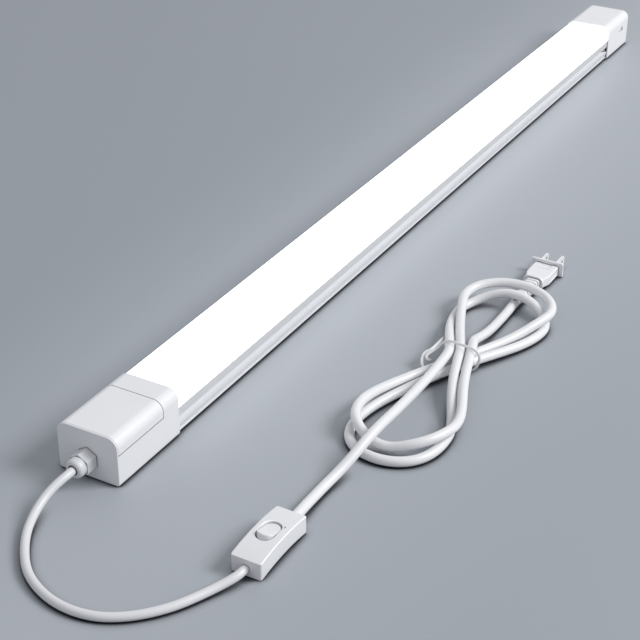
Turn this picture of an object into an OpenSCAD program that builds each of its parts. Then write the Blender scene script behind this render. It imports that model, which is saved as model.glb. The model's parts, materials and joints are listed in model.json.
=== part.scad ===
// Linear shop light with an opal diffuser, an in-line rocker switch and a two-blade plug.
// Millimetres. The light lies on its back on z = 0 with its diffuser up, X across it
// and Y along it, with the cord end at low Y. Places along the light are counted from
// the near end cap's front face, and placed() sets them in the part's own frame.

/* [Light] */
// Overall length over both end caps
light_l = 914; // [600:1:1240]
// Width over the end caps
light_w = 46; // [44:0.5:56]
// Height over the end caps
light_h = 34.7; // [33:0.1:42]
// Rounding of the two upper edges of the end caps
corner_r = 7.5; // [5:0.5:9]
// Rounding of the two lower edges of the end caps
foot_r = 2; // [1.2:0.1:2.4]
// How far the channel and the diffuser lie inside the caps' outline
channel_inset = 1.2; // [1:0.1:1.6]

/* [Channel] */
// Thickness of the channel's side walls beside the diffuser
channel_wall = 1.5; // [1.3:0.1:1.8]
// Thickness of the channel's floor and of the board shelf
web_t = 1.4; // [1.2:0.1:1.8]
// Height of the metal sides above the surface
metal_h = 19.5; // [18.8:0.1:21]
// Height of the shelf that carries the light board
shelf_z = 15; // [14.4:0.1:15.4]
// Height of the long groove in each side, where mounting clips hook in
groove_z = 12.5; // [11.5:0.1:13]
// Distance of the screw bosses from the light's sides
boss_in = 9.4; // [9:0.1:9.6]
// Outer radius of the screw bosses
boss_r = 2.9; // [2.6:0.1:3]
// Radius of the pilot bores in the bosses
pilot_r = 1.3; // [1.2:0.05:1.5]

/* [Diffuser] */
// Wall of the opal diffuser
diffuser_wall = 1.4; // [1.2:0.1:1.8]
// Length of the diffuser's snap legs below the metal's top edge
leg_l = 3; // [2.6:0.1:3.2]

/* [Light board] */
// Width of the light board
board_w = 30; // [24:0.5:31]
// Thickness of the light board
board_t = 1; // [0.8:0.1:1.2]
// Distance between the chips of one row
chip_pitch = 20; // [16:1:40]
// Distance between the two rows of chips
row_gap = 14; // [12:0.5:18]
// Size of one chip along, across and up
chip = [2.8, 3.5, 0.7];

/* [End caps] */
// Length of the near end cap, which holds the wiring space
near_cap_l = 66.3; // [62:0.1:80]
// Length of the far end cap
far_cap_l = 58.7; // [50:0.1:70]
// Wall of the end caps
cap_wall = 2; // [1.8:0.1:2.4]
// Overlap of each cap's collar on the channel
collar_l = 9; // [7:0.5:10]
// Length of the lift-off wiring cover
cover_l = 49.8; // [47:0.1:51]
// Height of the cover's side seam
seam_z = 22.4; // [21.5:0.1:24]
// Thickness of the front wall
front_t = 2.4; // [2:0.1:3]
// Thickness of the bulkhead between the wiring space and the channel
bulkhead_t = 2.5; // [2:0.1:3]
// Thickness of the seals between the caps and the channel
gasket_t = 1; // [0.6:0.1:1.4]
// Gap round the wiring cover
seam_gap = 0.15; // [0.1:0.05:0.25]

/* [Gland] */
// Height of the gland's axis
gland_z = 14.25; // [13.5:0.05:15]
// Width of the gland's hexagon over its flats
hex_flats = 13.9; // [13:0.1:15]
// Length of the hexagon in front of the cap
hex_l = 9.3; // [8:0.1:11]
// Radius of the domed nut
dome_r = 6.6; // [6.2:0.1:6.9]
// Length of the domed nut
dome_l = 6; // [5.5:0.1:8]
// Radius of the threaded shank through the front wall
shank_r = 5; // [4.8:0.1:5.5]

/* [Wiring] */
// Width of the two-pole terminal block
block_w = 16; // [14:0.5:20]
// Length of the terminal block
block_l = 16; // [14:0.5:18]
// Height of the terminal block
block_h = 10.5; // [10:0.5:12]
// Distance between the two poles
pole_gap = 7; // [6.5:0.1:8]
// Distance of the block from the front face
block_s = 28; // [26:0.5:32]
// Radius of an insulated lead
lead_r = 0.9; // [0.7:0.1:1]

/* [Driver] */
// Length of the driver's circuit board
driver_l = 170; // [150:1:200]
// Distance of the driver's circuit board from the light's sides
driver_in = 13.5; // [13.3:0.1:14.5]
// Thickness of the driver's circuit board
driver_t = 1.6; // [1.2:0.1:1.8]
// Wall of the insulating sleeve round the driver
sleeve_wall = 0.4; // [0.3:0.05:0.5]

/* [Cords] */
// Diameter of the cord between the light and the switch
lamp_cord_d = 5.6; // [5:0.1:6]
// Diameter of the cord between the switch and the plug
plug_cord_d = 6.8; // [6:0.1:7]

/* [Hank] */
// Half the width of the hank's loops
loop_w = 31; // [28:0.5:34]
// Reach of the loops on the plug's side of the waist
loop_up = 96; // [90:0.5:100]
// Reach of the loops on the switch's side of the waist
loop_down = 132; // [126:0.5:138]
// Distance between strands side by side
strand_pitch = 7.6; // [7.4:0.1:8.4]
// Thickness of the twist tie
tie_d = 1.8; // [1.4:0.1:2]

/* [Switch] */
// Length of the switch
switch_l = 51.8; // [48:0.1:56]
// Width of the switch
switch_w = 20.5; // [19.5:0.1:24]
// Height of the switch at its ends
switch_h = 12; // [11.5:0.1:13]
// Rise of the switch's arched back and belly in the middle
switch_bow = 2.3; // [1.5:0.1:3]
// Length of the stub that the plug's cord leaves the switch by
stub_l = 3; // [2:0.1:5]
// Wall of the switch's housing
switch_wall = 1.6; // [1.4:0.1:1.8]
// Length of the rocker
rocker_l = 18.4; // [16:0.1:19]
// Width of the rocker
rocker_w = 10.6; // [9.5:0.1:10.8]
// Angle between the rocker's two rest positions
rocker_throw = 20; // [14:1:22]
// Radius of the rocker's pivot pins
pivot_r = 1; // [0.8:0.05:1.1]

/* [Plug] */
// Width of the plug's face plate
face_w = 26; // [24:0.5:30]
// Height of the plug's face plate
face_h = 11.5; // [11:0.1:13]
// Thickness of the plug's face plate
face_t = 1.6; // [1:0.1:1.8]
// Distance between the plug's blades
blade_gap = 12.7; // [12.7:0.1:12.8]
// Length of the blades in front of the face plate
blade_l = 17; // [15.9:0.1:18.3]
// Thickness of the blades
blade_t = 1.5; // [1.4:0.05:1.65]
// Width of the live blade
live_w = 6.35; // [6.1:0.05:6.6]
// Width of the neutral blade
neutral_w = 7.94; // [7.8:0.02:8.1]
// Width of the plug's body
body_w = 18; // [17:0.1:19]
// Height of the plug's body
body_h = 8.2; // [8:0.1:9]
// Length of the plug's body behind the face plate
body_l = 25.4; // [23:0.1:28]
// Length of the collar behind the plug's body
collar_t = 2.2; // [2:0.1:3]
// Length of the ribbed strain relief
relief_l = 30; // [24:0.5:32]

/* [Hidden] */
$fn = 32;

// Clearances
slide_gap = 0.1;    // a collar, a rail or a lip over what slides in it
bore_gap = 0.05;    // a shank, a sleeve or a pin in its bore
seat_gap = 0.1;     // a piece beside a wall that it doesn't press on
past = 1;           // how far a cutting shape runs past the face that it cuts

// Colours
cap_white = [0.92, 0.92, 0.93];
cord_white = [0.93, 0.93, 0.94];
metal_silver = [0.78, 0.79, 0.81];
opal_white = [1, 1, 1];
brass_yellow = [0.83, 0.66, 0.32];
screw_steel = [0.66, 0.67, 0.69];
seal_grey = [0.3, 0.3, 0.32];
board_green = [0.1, 0.36, 0.2];

// The light's places along Y, counted from the front face
gland_reach = hex_l + dome_l;
front_y = (gland_reach - light_l) / 2;
channel_from = near_cap_l - collar_l + gasket_t;
far_cap_s = light_l - far_cap_l;
channel_to = far_cap_s + collar_l - gasket_t;
channel_l = channel_to - channel_from;
bulkhead_s = near_cap_l - collar_l - bulkhead_t;

// The channel's section
boss_x = light_w / 2 - boss_in;
channel_x = light_w / 2 - channel_inset;
upper_in = channel_x - channel_wall;
groove_in = 0.9;
lower_in = channel_x - channel_wall - 0.7;
lip_in = upper_in - 0.6;
lip_h = 1.2;
floor_top = channel_inset + web_t;
shelf_low = shelf_z - web_t;
boss_z = shelf_low - boss_r;
rail_x = board_w / 2 + slide_gap;
board_top = shelf_z + board_t;

// The side notch by the far cap, with the screw that shows in it
notch_l = 17.4;
notch_drop = 4.4;
notch_rise = 0.4;
side_screw_s = far_cap_s - 5.8;
tongue_t = 1.3;
tongue_x = boss_x + boss_r + seat_gap;

// The driver
driver_w = light_w - 2 * driver_in;
driver_s = near_cap_l + 4;
driver_z = floor_top + 0.2 + sleeve_wall + 1.3;
driver_top = driver_z + driver_t;
part_top = shelf_low - 0.3 - sleeve_wall;

// The holes in the light board and in the shelf for the driver's output
outlet_s = driver_s + driver_l + 10;
outlet_r = 3.5;

// The gland's bore and what sits in it
gland_bore = lamp_cord_d / 2 + 0.5;
seal_pocket = gland_bore + 1.1;
sleeve_r = dome_r - 1.3;
sleeve_l = dome_l / 2;
pocket_l = 5.2;
locknut_t = 3;
washer_t = 0.8;

// The wiring space
lead_z = cap_wall + 5;
sleeve_tube_r = 2;
inlet_end = 14;
lip_t = 0.9;
lip_reach = 2;

// ---- Shapes that repeat ----

// Sets a piece that is counted from the front face in the part's own frame
module placed() translate([0, front_y, 0]) children();

// Runs a section that is drawn in X and Z along Y
module along(from, length)
  translate([0, from + length, 0]) rotate([90, 0, 0]) linear_extrude(length) children();

// A cylinder along Y
module rod_y(x, from, z, radius, length)
  translate([x, from + length, z]) rotate([90, 0, 0]) cylinder(r = radius, h = length);

// A cylinder along X
module rod_x(from, y, z, radius, length)
  translate([from, y, z]) rotate([0, 90, 0]) cylinder(r = radius, h = length);

// A rectangle with four round corners, centred
module round_rect(w, h, r) {
  square([w - 2 * r, h], center = true);
  square([w, h - 2 * r], center = true);
  for (x = [-1, 1], y = [-1, 1])
    translate([x * (w / 2 - r), y * (h / 2 - r)]) circle(r);
}

// The end caps' outline, drawn in by inset on every side
module outline(inset) {
  w = light_w / 2 - inset;
  top = light_h - inset;
  r = corner_r - inset;
  f = max(foot_r - inset, 0.3);
  translate([-w, inset + f]) square([2 * w, top - r - inset - f]);
  translate([f - w, inset]) square([2 * (w - f), 2 * f]);
  translate([r - w, top - 2 * r]) square([2 * (w - r), 2 * r]);
  for (side = [-1, 1]) {
    translate([side * (w - r), top - r]) circle(r);
    translate([side * (w - f), inset + f]) circle(f);
  }
}

module outline_ring(outer, inner) difference() {
  outline(outer);
  outline(inner);
}

// Keeps what lies above or below a height, in a section
module above(z) intersection() {
  children();
  translate([-light_w, z]) square([2 * light_w, light_h]);
}

module below(z) intersection() {
  children();
  translate([-light_w, z - light_h]) square([2 * light_w, light_h]);
}

// A pan-head screw along +Z with its head's underside on z = 0 and a cross recess
module pan_screw(head_r, head_h, shank, length) difference() {
  union() {
    translate([0, 0, -head_h]) cylinder(r = head_r, h = head_h);
    cylinder(r = shank, h = length);
  }
  for (turn = [0, 90])
    rotate([0, 0, turn]) translate([0, 0, -head_h])
      cube([head_r * 1.2, head_r * 0.3, head_h], center = true);
}

// ---- Cords: smooth curves through points chosen by hand, swept as tubes ----

function unit(v) = v / norm(v);
function reach(v, w) = 2 * v - w;

// A smooth cubic curve along a list of points, that starts and ends on its end points
function smooth(points, steps) = let (
    n = len(points),
    p = concat([reach(points[0], points[1])], points, [reach(points[n - 1], points[n - 2])]))
  concat([for (i = [0:n - 2], k = [0:steps - 1]) let (t = k / steps)
      ((1 - t) ^ 3 * p[i] + (3 * t ^ 3 - 6 * t ^ 2 + 4) * p[i + 1]
       + (3 * t ^ 2 * (1 - t) + 3 * t + 1) * p[i + 2] + t ^ 3 * p[i + 3]) / 6],
    [points[n - 1]]);

// The direction at one point of a list
function heading(p, i) = unit(p[min(i + 1, len(p) - 1)] - p[max(i - 1, 0)]);

// One ring of a tube round a point, with a reference direction that it never runs along
function ring(p, i, radius, sides, up) = let (
    d = heading(p, i),
    a = unit(cross(d, up)),
    b = cross(d, a))
  [for (k = [0:sides - 1]) let (w = 360 * k / sides)
    p[i] + radius * (cos(w) * a + sin(w) * b)];

module tube(p, radius, sides, up = [0, 0, 1]) {
  n = len(p);
  points = [for (i = [0:n - 1]) each ring(p, i, radius, sides, up)];
  walls = [for (i = [0:n - 2], k = [0:sides - 1]) let (
      a = i * sides + k, b = i * sides + (k + 1) % sides)
    each [[a, b, b + sides], [a, b + sides, a + sides]]];
  front = [for (k = [1:sides - 2]) [0, k + 1, k]];
  last = (n - 1) * sides;
  back = [for (k = [1:sides - 2]) [last, last + k, last + k + 1]];
  polyhedron(points = points, faces = concat(walls, front, back), convexity = 8);
}

function length_of(p) = len(p) < 2 ? 0 :
  [for (i = 0, s = 0; i < len(p); i = i + 1,
    s = i < len(p) ? s + norm(p[i] - p[i - 1]) : s) s][len(p) - 1];

// The route of the cord from the gland to the switch, along the surface that the light lies on
switch_x = 134.8;
switch_s = -6.4;
switch_near = switch_s - switch_l / 2;
switch_far = switch_s + switch_l / 2 + stub_l;
entry_z = 5.4;
lamp_route = [
  [0, -gland_reach, gland_z], [0, -gland_reach - 3, gland_z], [0, -gland_reach - 6, gland_z],
  [-1.5, -28.5, 12.8], [-3, -38, 9.6], [-2, -49, 6.2], [1.5, -61, 3.9], [7.5, -72, 2.9], [16, -83, 2.8],
  [25.5, -93, 2.8], [36.5, -100, 2.8], [48.5, -105, 2.8], [60.5, -107.5, 2.8],
  [72.5, -107.5, 2.8], [84, -105, 2.8], [93.5, -100, 2.8], [102, -93.5, 2.8],
  [109.5, -85.5, 2.8], [116.5, -76, 2.8], [122, -65, 2.8], [127, -54, 3],
  [131.8, -45, 4.4], [134.1, -39.5, 5.3],
  [134.5, switch_near - 3.5, entry_z], [134.5, switch_near, entry_z]];

// The hank: a figure of eight, laid twice and drawn in alike at its waist
waist = [146.7, 230];
loop_mid = (loop_up + loop_down) / 2;
loop_off = (loop_up - loop_down) / 2;
loop_blunt = 4;      // rounds off the ends of the loops on the switch's side
draw_in = 6;         // how far one side is drawn in short of the waist
swell = 3.6;         // the wider step between the turns at the loops' ends
cross_lift = 7.8;    // one strand over another
relief_lift = 8.8;   // over the cord and the relief by the plug
tie_lift = 2.1;      // over the tie at the waist
hank_from = 8;
hank_to = 717;

function loop_at(a) = [
  -loop_w * sin(2 * a) - draw_in * hump(a, 343, 24),
  loop_mid * sin(a) + loop_off * sin(a) ^ 2
    + loop_blunt * sin(3 * a) * (1 - sin(a)) / 2];
function loop_left(a) = let (d = unit(loop_at(a + 1) - loop_at(a - 1))) [-d[1], d[0]];
function apart(a, b) = abs(((a - b) % 360 + 540) % 360 - 180);
function hump(a, at, half) = apart(a, at) < half ? cos(90 * apart(a, at) / half) ^ 2 : 0;

// Turn 2 rolls from beside turn 1 at the waist to on top of it along the loops' sides
function hank_point(angle) = let (
    turn = angle > 360 ? 1 : 0,
    a = angle - 360 * turn,
    lean = 97.5 + 82.5 * cos(2 * a),
    step = turn * (strand_pitch + swell * ((1 - cos(2 * a)) / 2) ^ 2),
    side = strand_pitch * (1 - a / 360) * cos(a) ^ 4 + step * cos(lean),
    place = waist + loop_at(a) + side * loop_left(a),
    height = plug_cord_d / 2 + tie_lift * (hump(a, 0, 30) + hump(a, 180, 30))
      + cross_lift * hump(a, 0, 40) + relief_lift * hump(a, 90, 40) + step * sin(lean))
  [place[0], place[1], height];

hank_rings = 96;
hank_curve = [for (k = [0:hank_rings - 3])
  hank_point(hank_from + (hank_to - hank_from) * k / (hank_rings - 3))];
hank_in = unit(hank_curve[1] - hank_curve[0]);
hank_out = unit(hank_curve[hank_rings - 3] - hank_curve[hank_rings - 4]);
hank_start = hank_curve[0] - plug_cord_d * hank_in;
hank_end = hank_curve[hank_rings - 3] + plug_cord_d * hank_out;
hank_line = concat([hank_start], hank_curve, [hank_end]);

// The route from the switch over the near loops to the hank
entry_route = [
  [135, switch_far, entry_z], [135, switch_far + 7, entry_z], [134.3, 37, 4.6],
  [133.8, 48, 3.6], [134, 60, 3.8], [135.5, 72, 5.2], [138, 84, 9], [140.3, 97, 14],
  [141.6, 110, 17], [141.8, 124, 16.6], [141.4, 142, 14.6], [141.2, 162, 13.4],
  [141, 182, 13], [140.8, 202, 13.2], [140, 216, 13.4],
  hank_start - 2 * plug_cord_d * hank_in, hank_start - plug_cord_d * hank_in, hank_start];

// The plug's place, and the route from the hank to its relief
plug_x = 146;
plug_s = 389;
relief_z = 4.75;
relief_s = plug_s - body_l - collar_t;
plug_route = [
  hank_end, hank_end + plug_cord_d * hank_out, hank_end + 2 * plug_cord_d * hank_out,
  [146.6, 252, 11.6], [146.2, 262, 8.4], [146, 272, 5.6],
  [146, 284, 3.9], [146, 296, 3.5], [146, 310, 3.6], [146, 320, 4.2],
  [plug_x, relief_s - relief_l - plug_cord_d, relief_z - 0.1],
  [plug_x, relief_s - relief_l, relief_z]];

lamp_line = smooth(lamp_route, 1);
entry_line = smooth(entry_route, 1);
plug_line = smooth(plug_route, 1);

// The hank's least gap to itself, measured on its points more than three diameters apart
hank_gap = min([for (i = [0:len(hank_line) - 1], j = [i + 4:1:len(hank_line) - 1])
  let (d = norm(hank_line[i] - hank_line[j]), run = (j - i) * 11)
  run > 3 * plug_cord_d ? d : 99]) - plug_cord_d;
echo(least_gap_in_hank = hank_gap);
echo(lamp_cord_length = length_of(lamp_line));
echo(plug_cord_length = length_of(entry_line) + length_of(hank_line) + length_of(plug_line));

// ---- The light ----

// One side wall of the channel: flange, bowed band, groove, flat band and diffuser lip
module side_wall() {
  band_low = channel_inset + 1.9;
  band_high = groove_z - 0.35;
  polygon(concat(
    [[lower_in, channel_inset], [channel_x - 0.6, channel_inset],
     [channel_x - 0.2, channel_inset + 0.4], [channel_x - 0.2, channel_inset + 1.3],
     [channel_x - groove_in, channel_inset + 1.5]],
    [for (t = [0:0.1:1]) [channel_x - groove_in + groove_in * sin(180 * t),
      band_low + t * (band_high - band_low)]],
    [[channel_x - groove_in, groove_z + 0.35], [channel_x, groove_z + 0.55],
     [channel_x, metal_h], [lip_in, metal_h], [lip_in, metal_h - lip_h],
     [upper_in, metal_h - lip_h], [upper_in, shelf_z], [upper_in, shelf_low],
     [lower_in, shelf_low]]));
}

// The rail that holds one edge of the light board down
module board_rail() {
  translate([rail_x, shelf_z]) square([1, board_t + 1.1]);
  translate([rail_x - 1.1, board_top + 0.15]) square([2.1, 0.95]);
}

// A screw boss under the shelf, open towards the middle of the channel
module screw_boss() difference() {
  union() {
    translate([boss_x, boss_z]) circle(boss_r);
    translate([boss_x - 1, boss_z + boss_r - 0.6]) square([2 * 1, 0.7]);
  }
  translate([boss_x, boss_z]) circle(pilot_r);
  translate([boss_x - boss_r - past, boss_z - 0.45]) square([boss_r + past, 0.9]);
}

module channel_section() {
  translate([-lower_in, channel_inset]) square([2 * lower_in, web_t]);
  translate([-upper_in, shelf_low]) square([2 * upper_in, web_t]);
  for (flip = [0, 1]) mirror([flip, 0]) {
    side_wall();
    board_rail();
    screw_boss();
  }
}

module housing_channel() color(metal_silver) placed() difference() {
  along(channel_from, channel_l) channel_section();
  // Outlet for the light board's leads
  translate([0, outlet_s, shelf_low - past]) cylinder(r = outlet_r + 0.5, h = web_t + 2 * past);
  // Notches that open on the far cap's side screws
  for (flip = [0, 1]) mirror([flip, 0, 0])
    translate([lower_in - past, 0, 0]) rotate([90, 0, 90])
      linear_extrude(channel_x - lower_in + 2 * past)
        polygon([[far_cap_s - notch_l, groove_z], [far_cap_s + 1.2, groove_z + notch_rise],
          [far_cap_s + 1.2, groove_z - notch_drop]]);
}

// Opal cover with two hooked legs that snap under the channel's lips
module diffuser_section() {
  low = metal_h + slide_gap;
  leg_out = lip_in - slide_gap;
  hook_top = metal_h - lip_h - 0.2;
  above(low) outline_ring(channel_inset, channel_inset + diffuser_wall);
  for (flip = [0, 1]) mirror([flip, 0]) {
    translate([leg_out - 1.2, low]) square([channel_x - leg_out + 1, 1.4]);
    polygon([[leg_out - 1.2, low + 0.5], [leg_out - 1.2, metal_h - leg_l],
      [leg_out, metal_h - leg_l], [upper_in - slide_gap, hook_top - 0.6],
      [upper_in - slide_gap, hook_top], [leg_out, hook_top], [leg_out, low + 0.5]]);
  }
}

module diffuser() color(opal_white) placed() along(channel_from, channel_l) diffuser_section();

module led_board() color("white") placed() difference() {
  translate([-board_w / 2, channel_from + 1, shelf_z]) cube([board_w, channel_l - 2, board_t]);
  translate([0, outlet_s, shelf_z - past]) cylinder(r = outlet_r, h = board_t + 2 * past);
}

module led_chips() color([1, 0.93, 0.6]) placed() {
  count = floor((channel_l - 2 - 12) / chip_pitch);
  start = channel_from + (channel_l - count * chip_pitch) / 2;
  for (k = [0:count], side = [-1, 1])
    translate([side * row_gap / 2 - chip[1] / 2, start + k * chip_pitch - chip[0] / 2, board_top])
      cube([chip[1], chip[0], chip[2]]);
}

connector = [7, 5, 3.4];
connector_s = outlet_s + outlet_r + 2;

module board_connector() color("white") placed() difference() {
  translate([-connector[0] / 2, connector_s, board_top]) cube(connector);
  for (side = [-1, 1])
    rod_y(side * pole_gap / 4, connector_s - past, board_top + 1.7, lead_r + bore_gap, 3 + past);
}

// ---- The driver in its sleeve ----

sleeve_w = driver_w + 2 * (0.25 + sleeve_wall);
sleeve_low = floor_top + 0.2;
sleeve_high = shelf_low - 0.3;

module driver_sleeve() color([0.95, 0.95, 0.9]) placed() along(driver_s - 4, driver_l + 8)
  difference() {
    translate([-sleeve_w / 2, sleeve_low]) square([sleeve_w, sleeve_high - sleeve_low]);
    translate([sleeve_wall - sleeve_w / 2, sleeve_low + sleeve_wall])
      square([sleeve_w - 2 * sleeve_wall, sleeve_high - sleeve_low - 2 * sleeve_wall]);
  }

// The board stands on four feet in the sleeve
module driver_board() color(board_green) placed() {
  translate([-driver_w / 2, driver_s, driver_z]) cube([driver_w, driver_l, driver_t]);
  foot_h = driver_z - sleeve_low - sleeve_wall;
  for (x = [-1, 1], y = [12, driver_l - 12])
    translate([x * (driver_w / 2 - 3), driver_s + y, driver_z - foot_h]) cylinder(r = 1.2, h = foot_h);
}

// Sizes of what stands on the driver's board, from the board's own
core_w = driver_w * 0.84;
core_leg = driver_w * 0.16;
bobbin_w = driver_w * 0.68;
bobbin_l = driver_w * 0.42;
capacitor_r = min(driver_w * 0.158, (part_top - driver_top) / 2);
capacitor_l = driver_l * 0.08;
choke_r = driver_w * 0.22;
choke_h = part_top - driver_top - 0.6;
chip_h = driver_t;

// A low transformer: a ferrite core round a wound bobbin
module driver_transformer() color([0.25, 0.25, 0.27]) placed() {
  h = part_top - driver_top - 0.4;
  translate([0, driver_s + driver_l * 0.56, driver_top]) {
    for (end = [-1, 1])
      translate([-core_w / 2, end * (bobbin_l + core_leg) / 2 - core_leg / 2, 0])
        cube([core_w, core_leg, h]);
    translate([-bobbin_w / 2, -bobbin_l / 2 - 0.1, 0.4]) cube([bobbin_w, bobbin_l + 0.2, h - 0.8]);
  }
}

// Places as shares of the board's width and length
module driver_capacitors() color([0.2, 0.25, 0.4]) placed()
  for (place = [[-0.242, 0.165], [0.242, 0.165], [0, 0.825]])
    rod_y(place[0] * driver_w, driver_s + place[1] * driver_l, driver_top + capacitor_r,
      capacitor_r, capacitor_l);

// A drum choke with its two flanges
module driver_choke() color([0.3, 0.22, 0.16]) placed()
  translate([0, driver_s + driver_l * 0.365, driver_top]) rotate_extrude() polygon([[0, 0],
    [choke_r, 0], [choke_r, choke_h * 0.19], [choke_r * 0.7, choke_h * 0.19],
    [choke_r * 0.7, choke_h * 0.81], [choke_r, choke_h * 0.81], [choke_r, choke_h], [0, choke_h]]);

// Place across and along the board, then width and length, all as shares of the board's own
module driver_chips() color([0.12, 0.12, 0.13]) placed()
  for (share = [[-0.26, 0.29, 0.26, 0.024], [0.24, 0.45, 0.26, 0.024], [-0.24, 0.45, 0.3, 0.03],
      [-0.21, 0.69, 0.34, 0.027], [0.26, 0.69, 0.21, 0.024]])
    translate([(share[0] - share[2] / 2) * driver_w, driver_s + (share[1] - share[3] / 2) * driver_l,
      driver_top])
      cube([share[2] * driver_w, share[3] * driver_l, chip_h]);

// ---- The end caps ----

rim_t = 1.2;
near_edge = 0.6;     // rounding of the front face's edge
far_edge = 1.8;      // rounding of the far end's edge

// An end wall whose outer edge is rounded, with its outer face at face and out the way it faces
module eased_wall(face, thickness, edge, out) hull() {
  for (w = [0, 30, 60]) let (deep = edge * (1 - cos(w)))
    along(out < 0 ? face + deep : face - deep - 0.01, 0.01) outline(edge * (1 - sin(w)));
  along(out < 0 ? face + edge : face - thickness, thickness - edge) outline(0);
}

module near_shell() {
  eased_wall(0, rim_t, near_edge, -1);
  // Inner part of the front wall, which the cover closes over
  along(rim_t - 0.1, front_t - rim_t + 0.1) outline(cap_wall + slide_gap);
  // Tray: floor and sides up to the seam
  along(rim_t - 0.1, cover_l - rim_t + 0.2) below(seam_z) outline_ring(0, cap_wall);
  // Lip along the seam, inside the cover
  along(front_t - 0.1, cover_l - front_t + 0.2) {
    above(seam_z - 2.5) below(seam_z - 0.2) outline_ring(cap_wall - 0.1, cap_wall + slide_gap + lip_t);
    above(seam_z - 0.3) below(seam_z + lip_reach)
      outline_ring(cap_wall + slide_gap, cap_wall + slide_gap + lip_t);
  }
  // Fixed band behind the cover, its lip and the bulkhead
  along(cover_l, near_cap_l - cover_l) outline_ring(0, cap_wall);
  along(cover_l - lip_reach, lip_reach + 0.1) above(seam_z)
    outline_ring(cap_wall + slide_gap, cap_wall + slide_gap + lip_t);
  along(cover_l, 2) outline_ring(cap_wall - 0.1, cap_wall + slide_gap + lip_t);
  along(bulkhead_s, bulkhead_t) outline(cap_wall - 0.1);
}

module near_end_cap() color(cap_white) placed() difference() {
  near_shell();
  along(near_cap_l - collar_l, collar_l + past) outline(channel_inset - slide_gap);
  rod_y(0, -past, gland_z, shank_r + slide_gap, front_t + 2 * past);
  // Way for the leads, and the two screw holes
  along(bulkhead_s - past, bulkhead_t + 2 * past) translate([0, lead_z]) round_rect(14, 5, 2);
  for (side = [-1, 1])
    rod_y(side * boss_x, bulkhead_s - past, boss_z, pilot_r + 0.3, bulkhead_t + 2 * past);
}

// Lift-off cover over the wiring space, with two ribs inside
module wiring_cover() color(cap_white) placed() {
  from = rim_t + seam_gap;
  to = cover_l - seam_gap;
  along(from, to - from) above(seam_z + seam_gap) outline_ring(0, cap_wall);
  for (s = [18, 34])
    along(s, 1.2) above(seam_z + lip_reach + 1) outline_ring(cap_wall - 0.1, cap_wall + 1.2);
}

module gasket(from) along(from, gasket_t) outline_ring(channel_inset, cap_wall + 1);

module near_gasket() color(seal_grey) placed() gasket(near_cap_l - collar_l);

module far_gasket() color(seal_grey) placed() gasket(channel_to);

module near_cap_screws() color(screw_steel) placed()
  for (side = [-1, 1]) translate([side * boss_x, bulkhead_s, boss_z]) rotate([-90, 0, 0])
    pan_screw(2.6, 1.9, pilot_r - bore_gap, bulkhead_t + gasket_t + 8);

window_from = far_cap_l - 31.2;
window = [11, 4.2, 1.2];
window_z = 21;

// Far cap: a deep cup with a ledge for the channel's end, two tongues and a blind side window
module far_end_cap() color(cap_white) placed() difference() {
  union() {
    difference() {
      union() {
        along(far_cap_s, far_cap_l - far_edge - 0.2) outline(0);
        eased_wall(light_l, far_edge + 0.4, far_edge, 1);
      }
      along(far_cap_s - past, collar_l + past) outline(channel_inset - slide_gap);
      along(far_cap_s, far_cap_l - cap_wall) outline(cap_wall + 1);
    }
    for (flip = [0, 1]) mirror([flip, 0, 0]) {
      translate([tongue_x, side_screw_s - 4, boss_z - 2])
        cube([tongue_t, far_cap_s + collar_l + 8 - side_screw_s + 4, 4]);
      translate([tongue_x, far_cap_s + collar_l, boss_z - 2])
        cube([light_w / 2 - 1 - tongue_x, 8, 4]);
    }
  }
  for (flip = [0, 1]) mirror([flip, 0, 0])
    rod_x(tongue_x - past, side_screw_s, boss_z, 1, tongue_t + 2 * past);
  translate([light_w / 2 - window[2], light_l - window_from, window_z - window[1] / 2])
    cube([window[2] + past, window[0], window[1]]);
}

// Side screws that tie the far cap's tongues to the channel's bosses
module far_cap_screws() color(screw_steel) placed()
  for (flip = [0, 1]) mirror([flip, 0, 0])
    translate([tongue_x + tongue_t, side_screw_s, boss_z]) rotate([0, -90, 0])
      pan_screw(1.6, 1.1, 1 - bore_gap, tongue_t + seat_gap / 2);

// ---- The wiring ----

module terminal_block() color([0.94, 0.94, 0.9]) placed() difference() {
  translate([-block_w / 2, block_s, cap_wall]) cube([block_w, block_l, block_h]);
  translate([-past / 2, block_s - past, lead_z]) cube([past, block_l + 2 * past, block_h]);
  for (side = [-1, 1]) {
    rod_y(side * pole_gap / 2, block_s - past, lead_z, sleeve_tube_r + bore_gap, block_l + 2 * past);
    for (end = [4, block_l - 4])
      translate([side * pole_gap / 2, block_s + end, lead_z])
        cylinder(r = 1.7, h = block_h);
  }
}

module terminal_sleeves() color(brass_yellow) placed()
  for (side = [-1, 1]) difference() {
    rod_y(side * pole_gap / 2, block_s + 1, lead_z, sleeve_tube_r, block_l - 2);
    rod_y(side * pole_gap / 2, block_s, lead_z, lead_r + bore_gap, block_l);
    for (end = [4, block_l - 4])
      translate([side * pole_gap / 2, block_s + end, lead_z]) cylinder(r = 1.1, h = block_h);
  }

module terminal_screws() color(screw_steel) placed()
  for (side = [-1, 1], end = [4, block_l - 4])
    translate([side * pole_gap / 2, block_s + end, lead_z + sleeve_tube_r + 1.6])
      rotate([180, 0, 0]) pan_screw(1.5, 1, 1, 2.4);

// A pair of leads that mirror each other, along a route for the one at +X
module lead_pair(route, steps) {
  line = smooth(route, steps);
  for (flip = [0, 1]) mirror([flip, 0, 0]) tube(line, lead_r, 8, [0.99, 0, 0.1]);
}

pole_x = pole_gap / 2;

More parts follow.
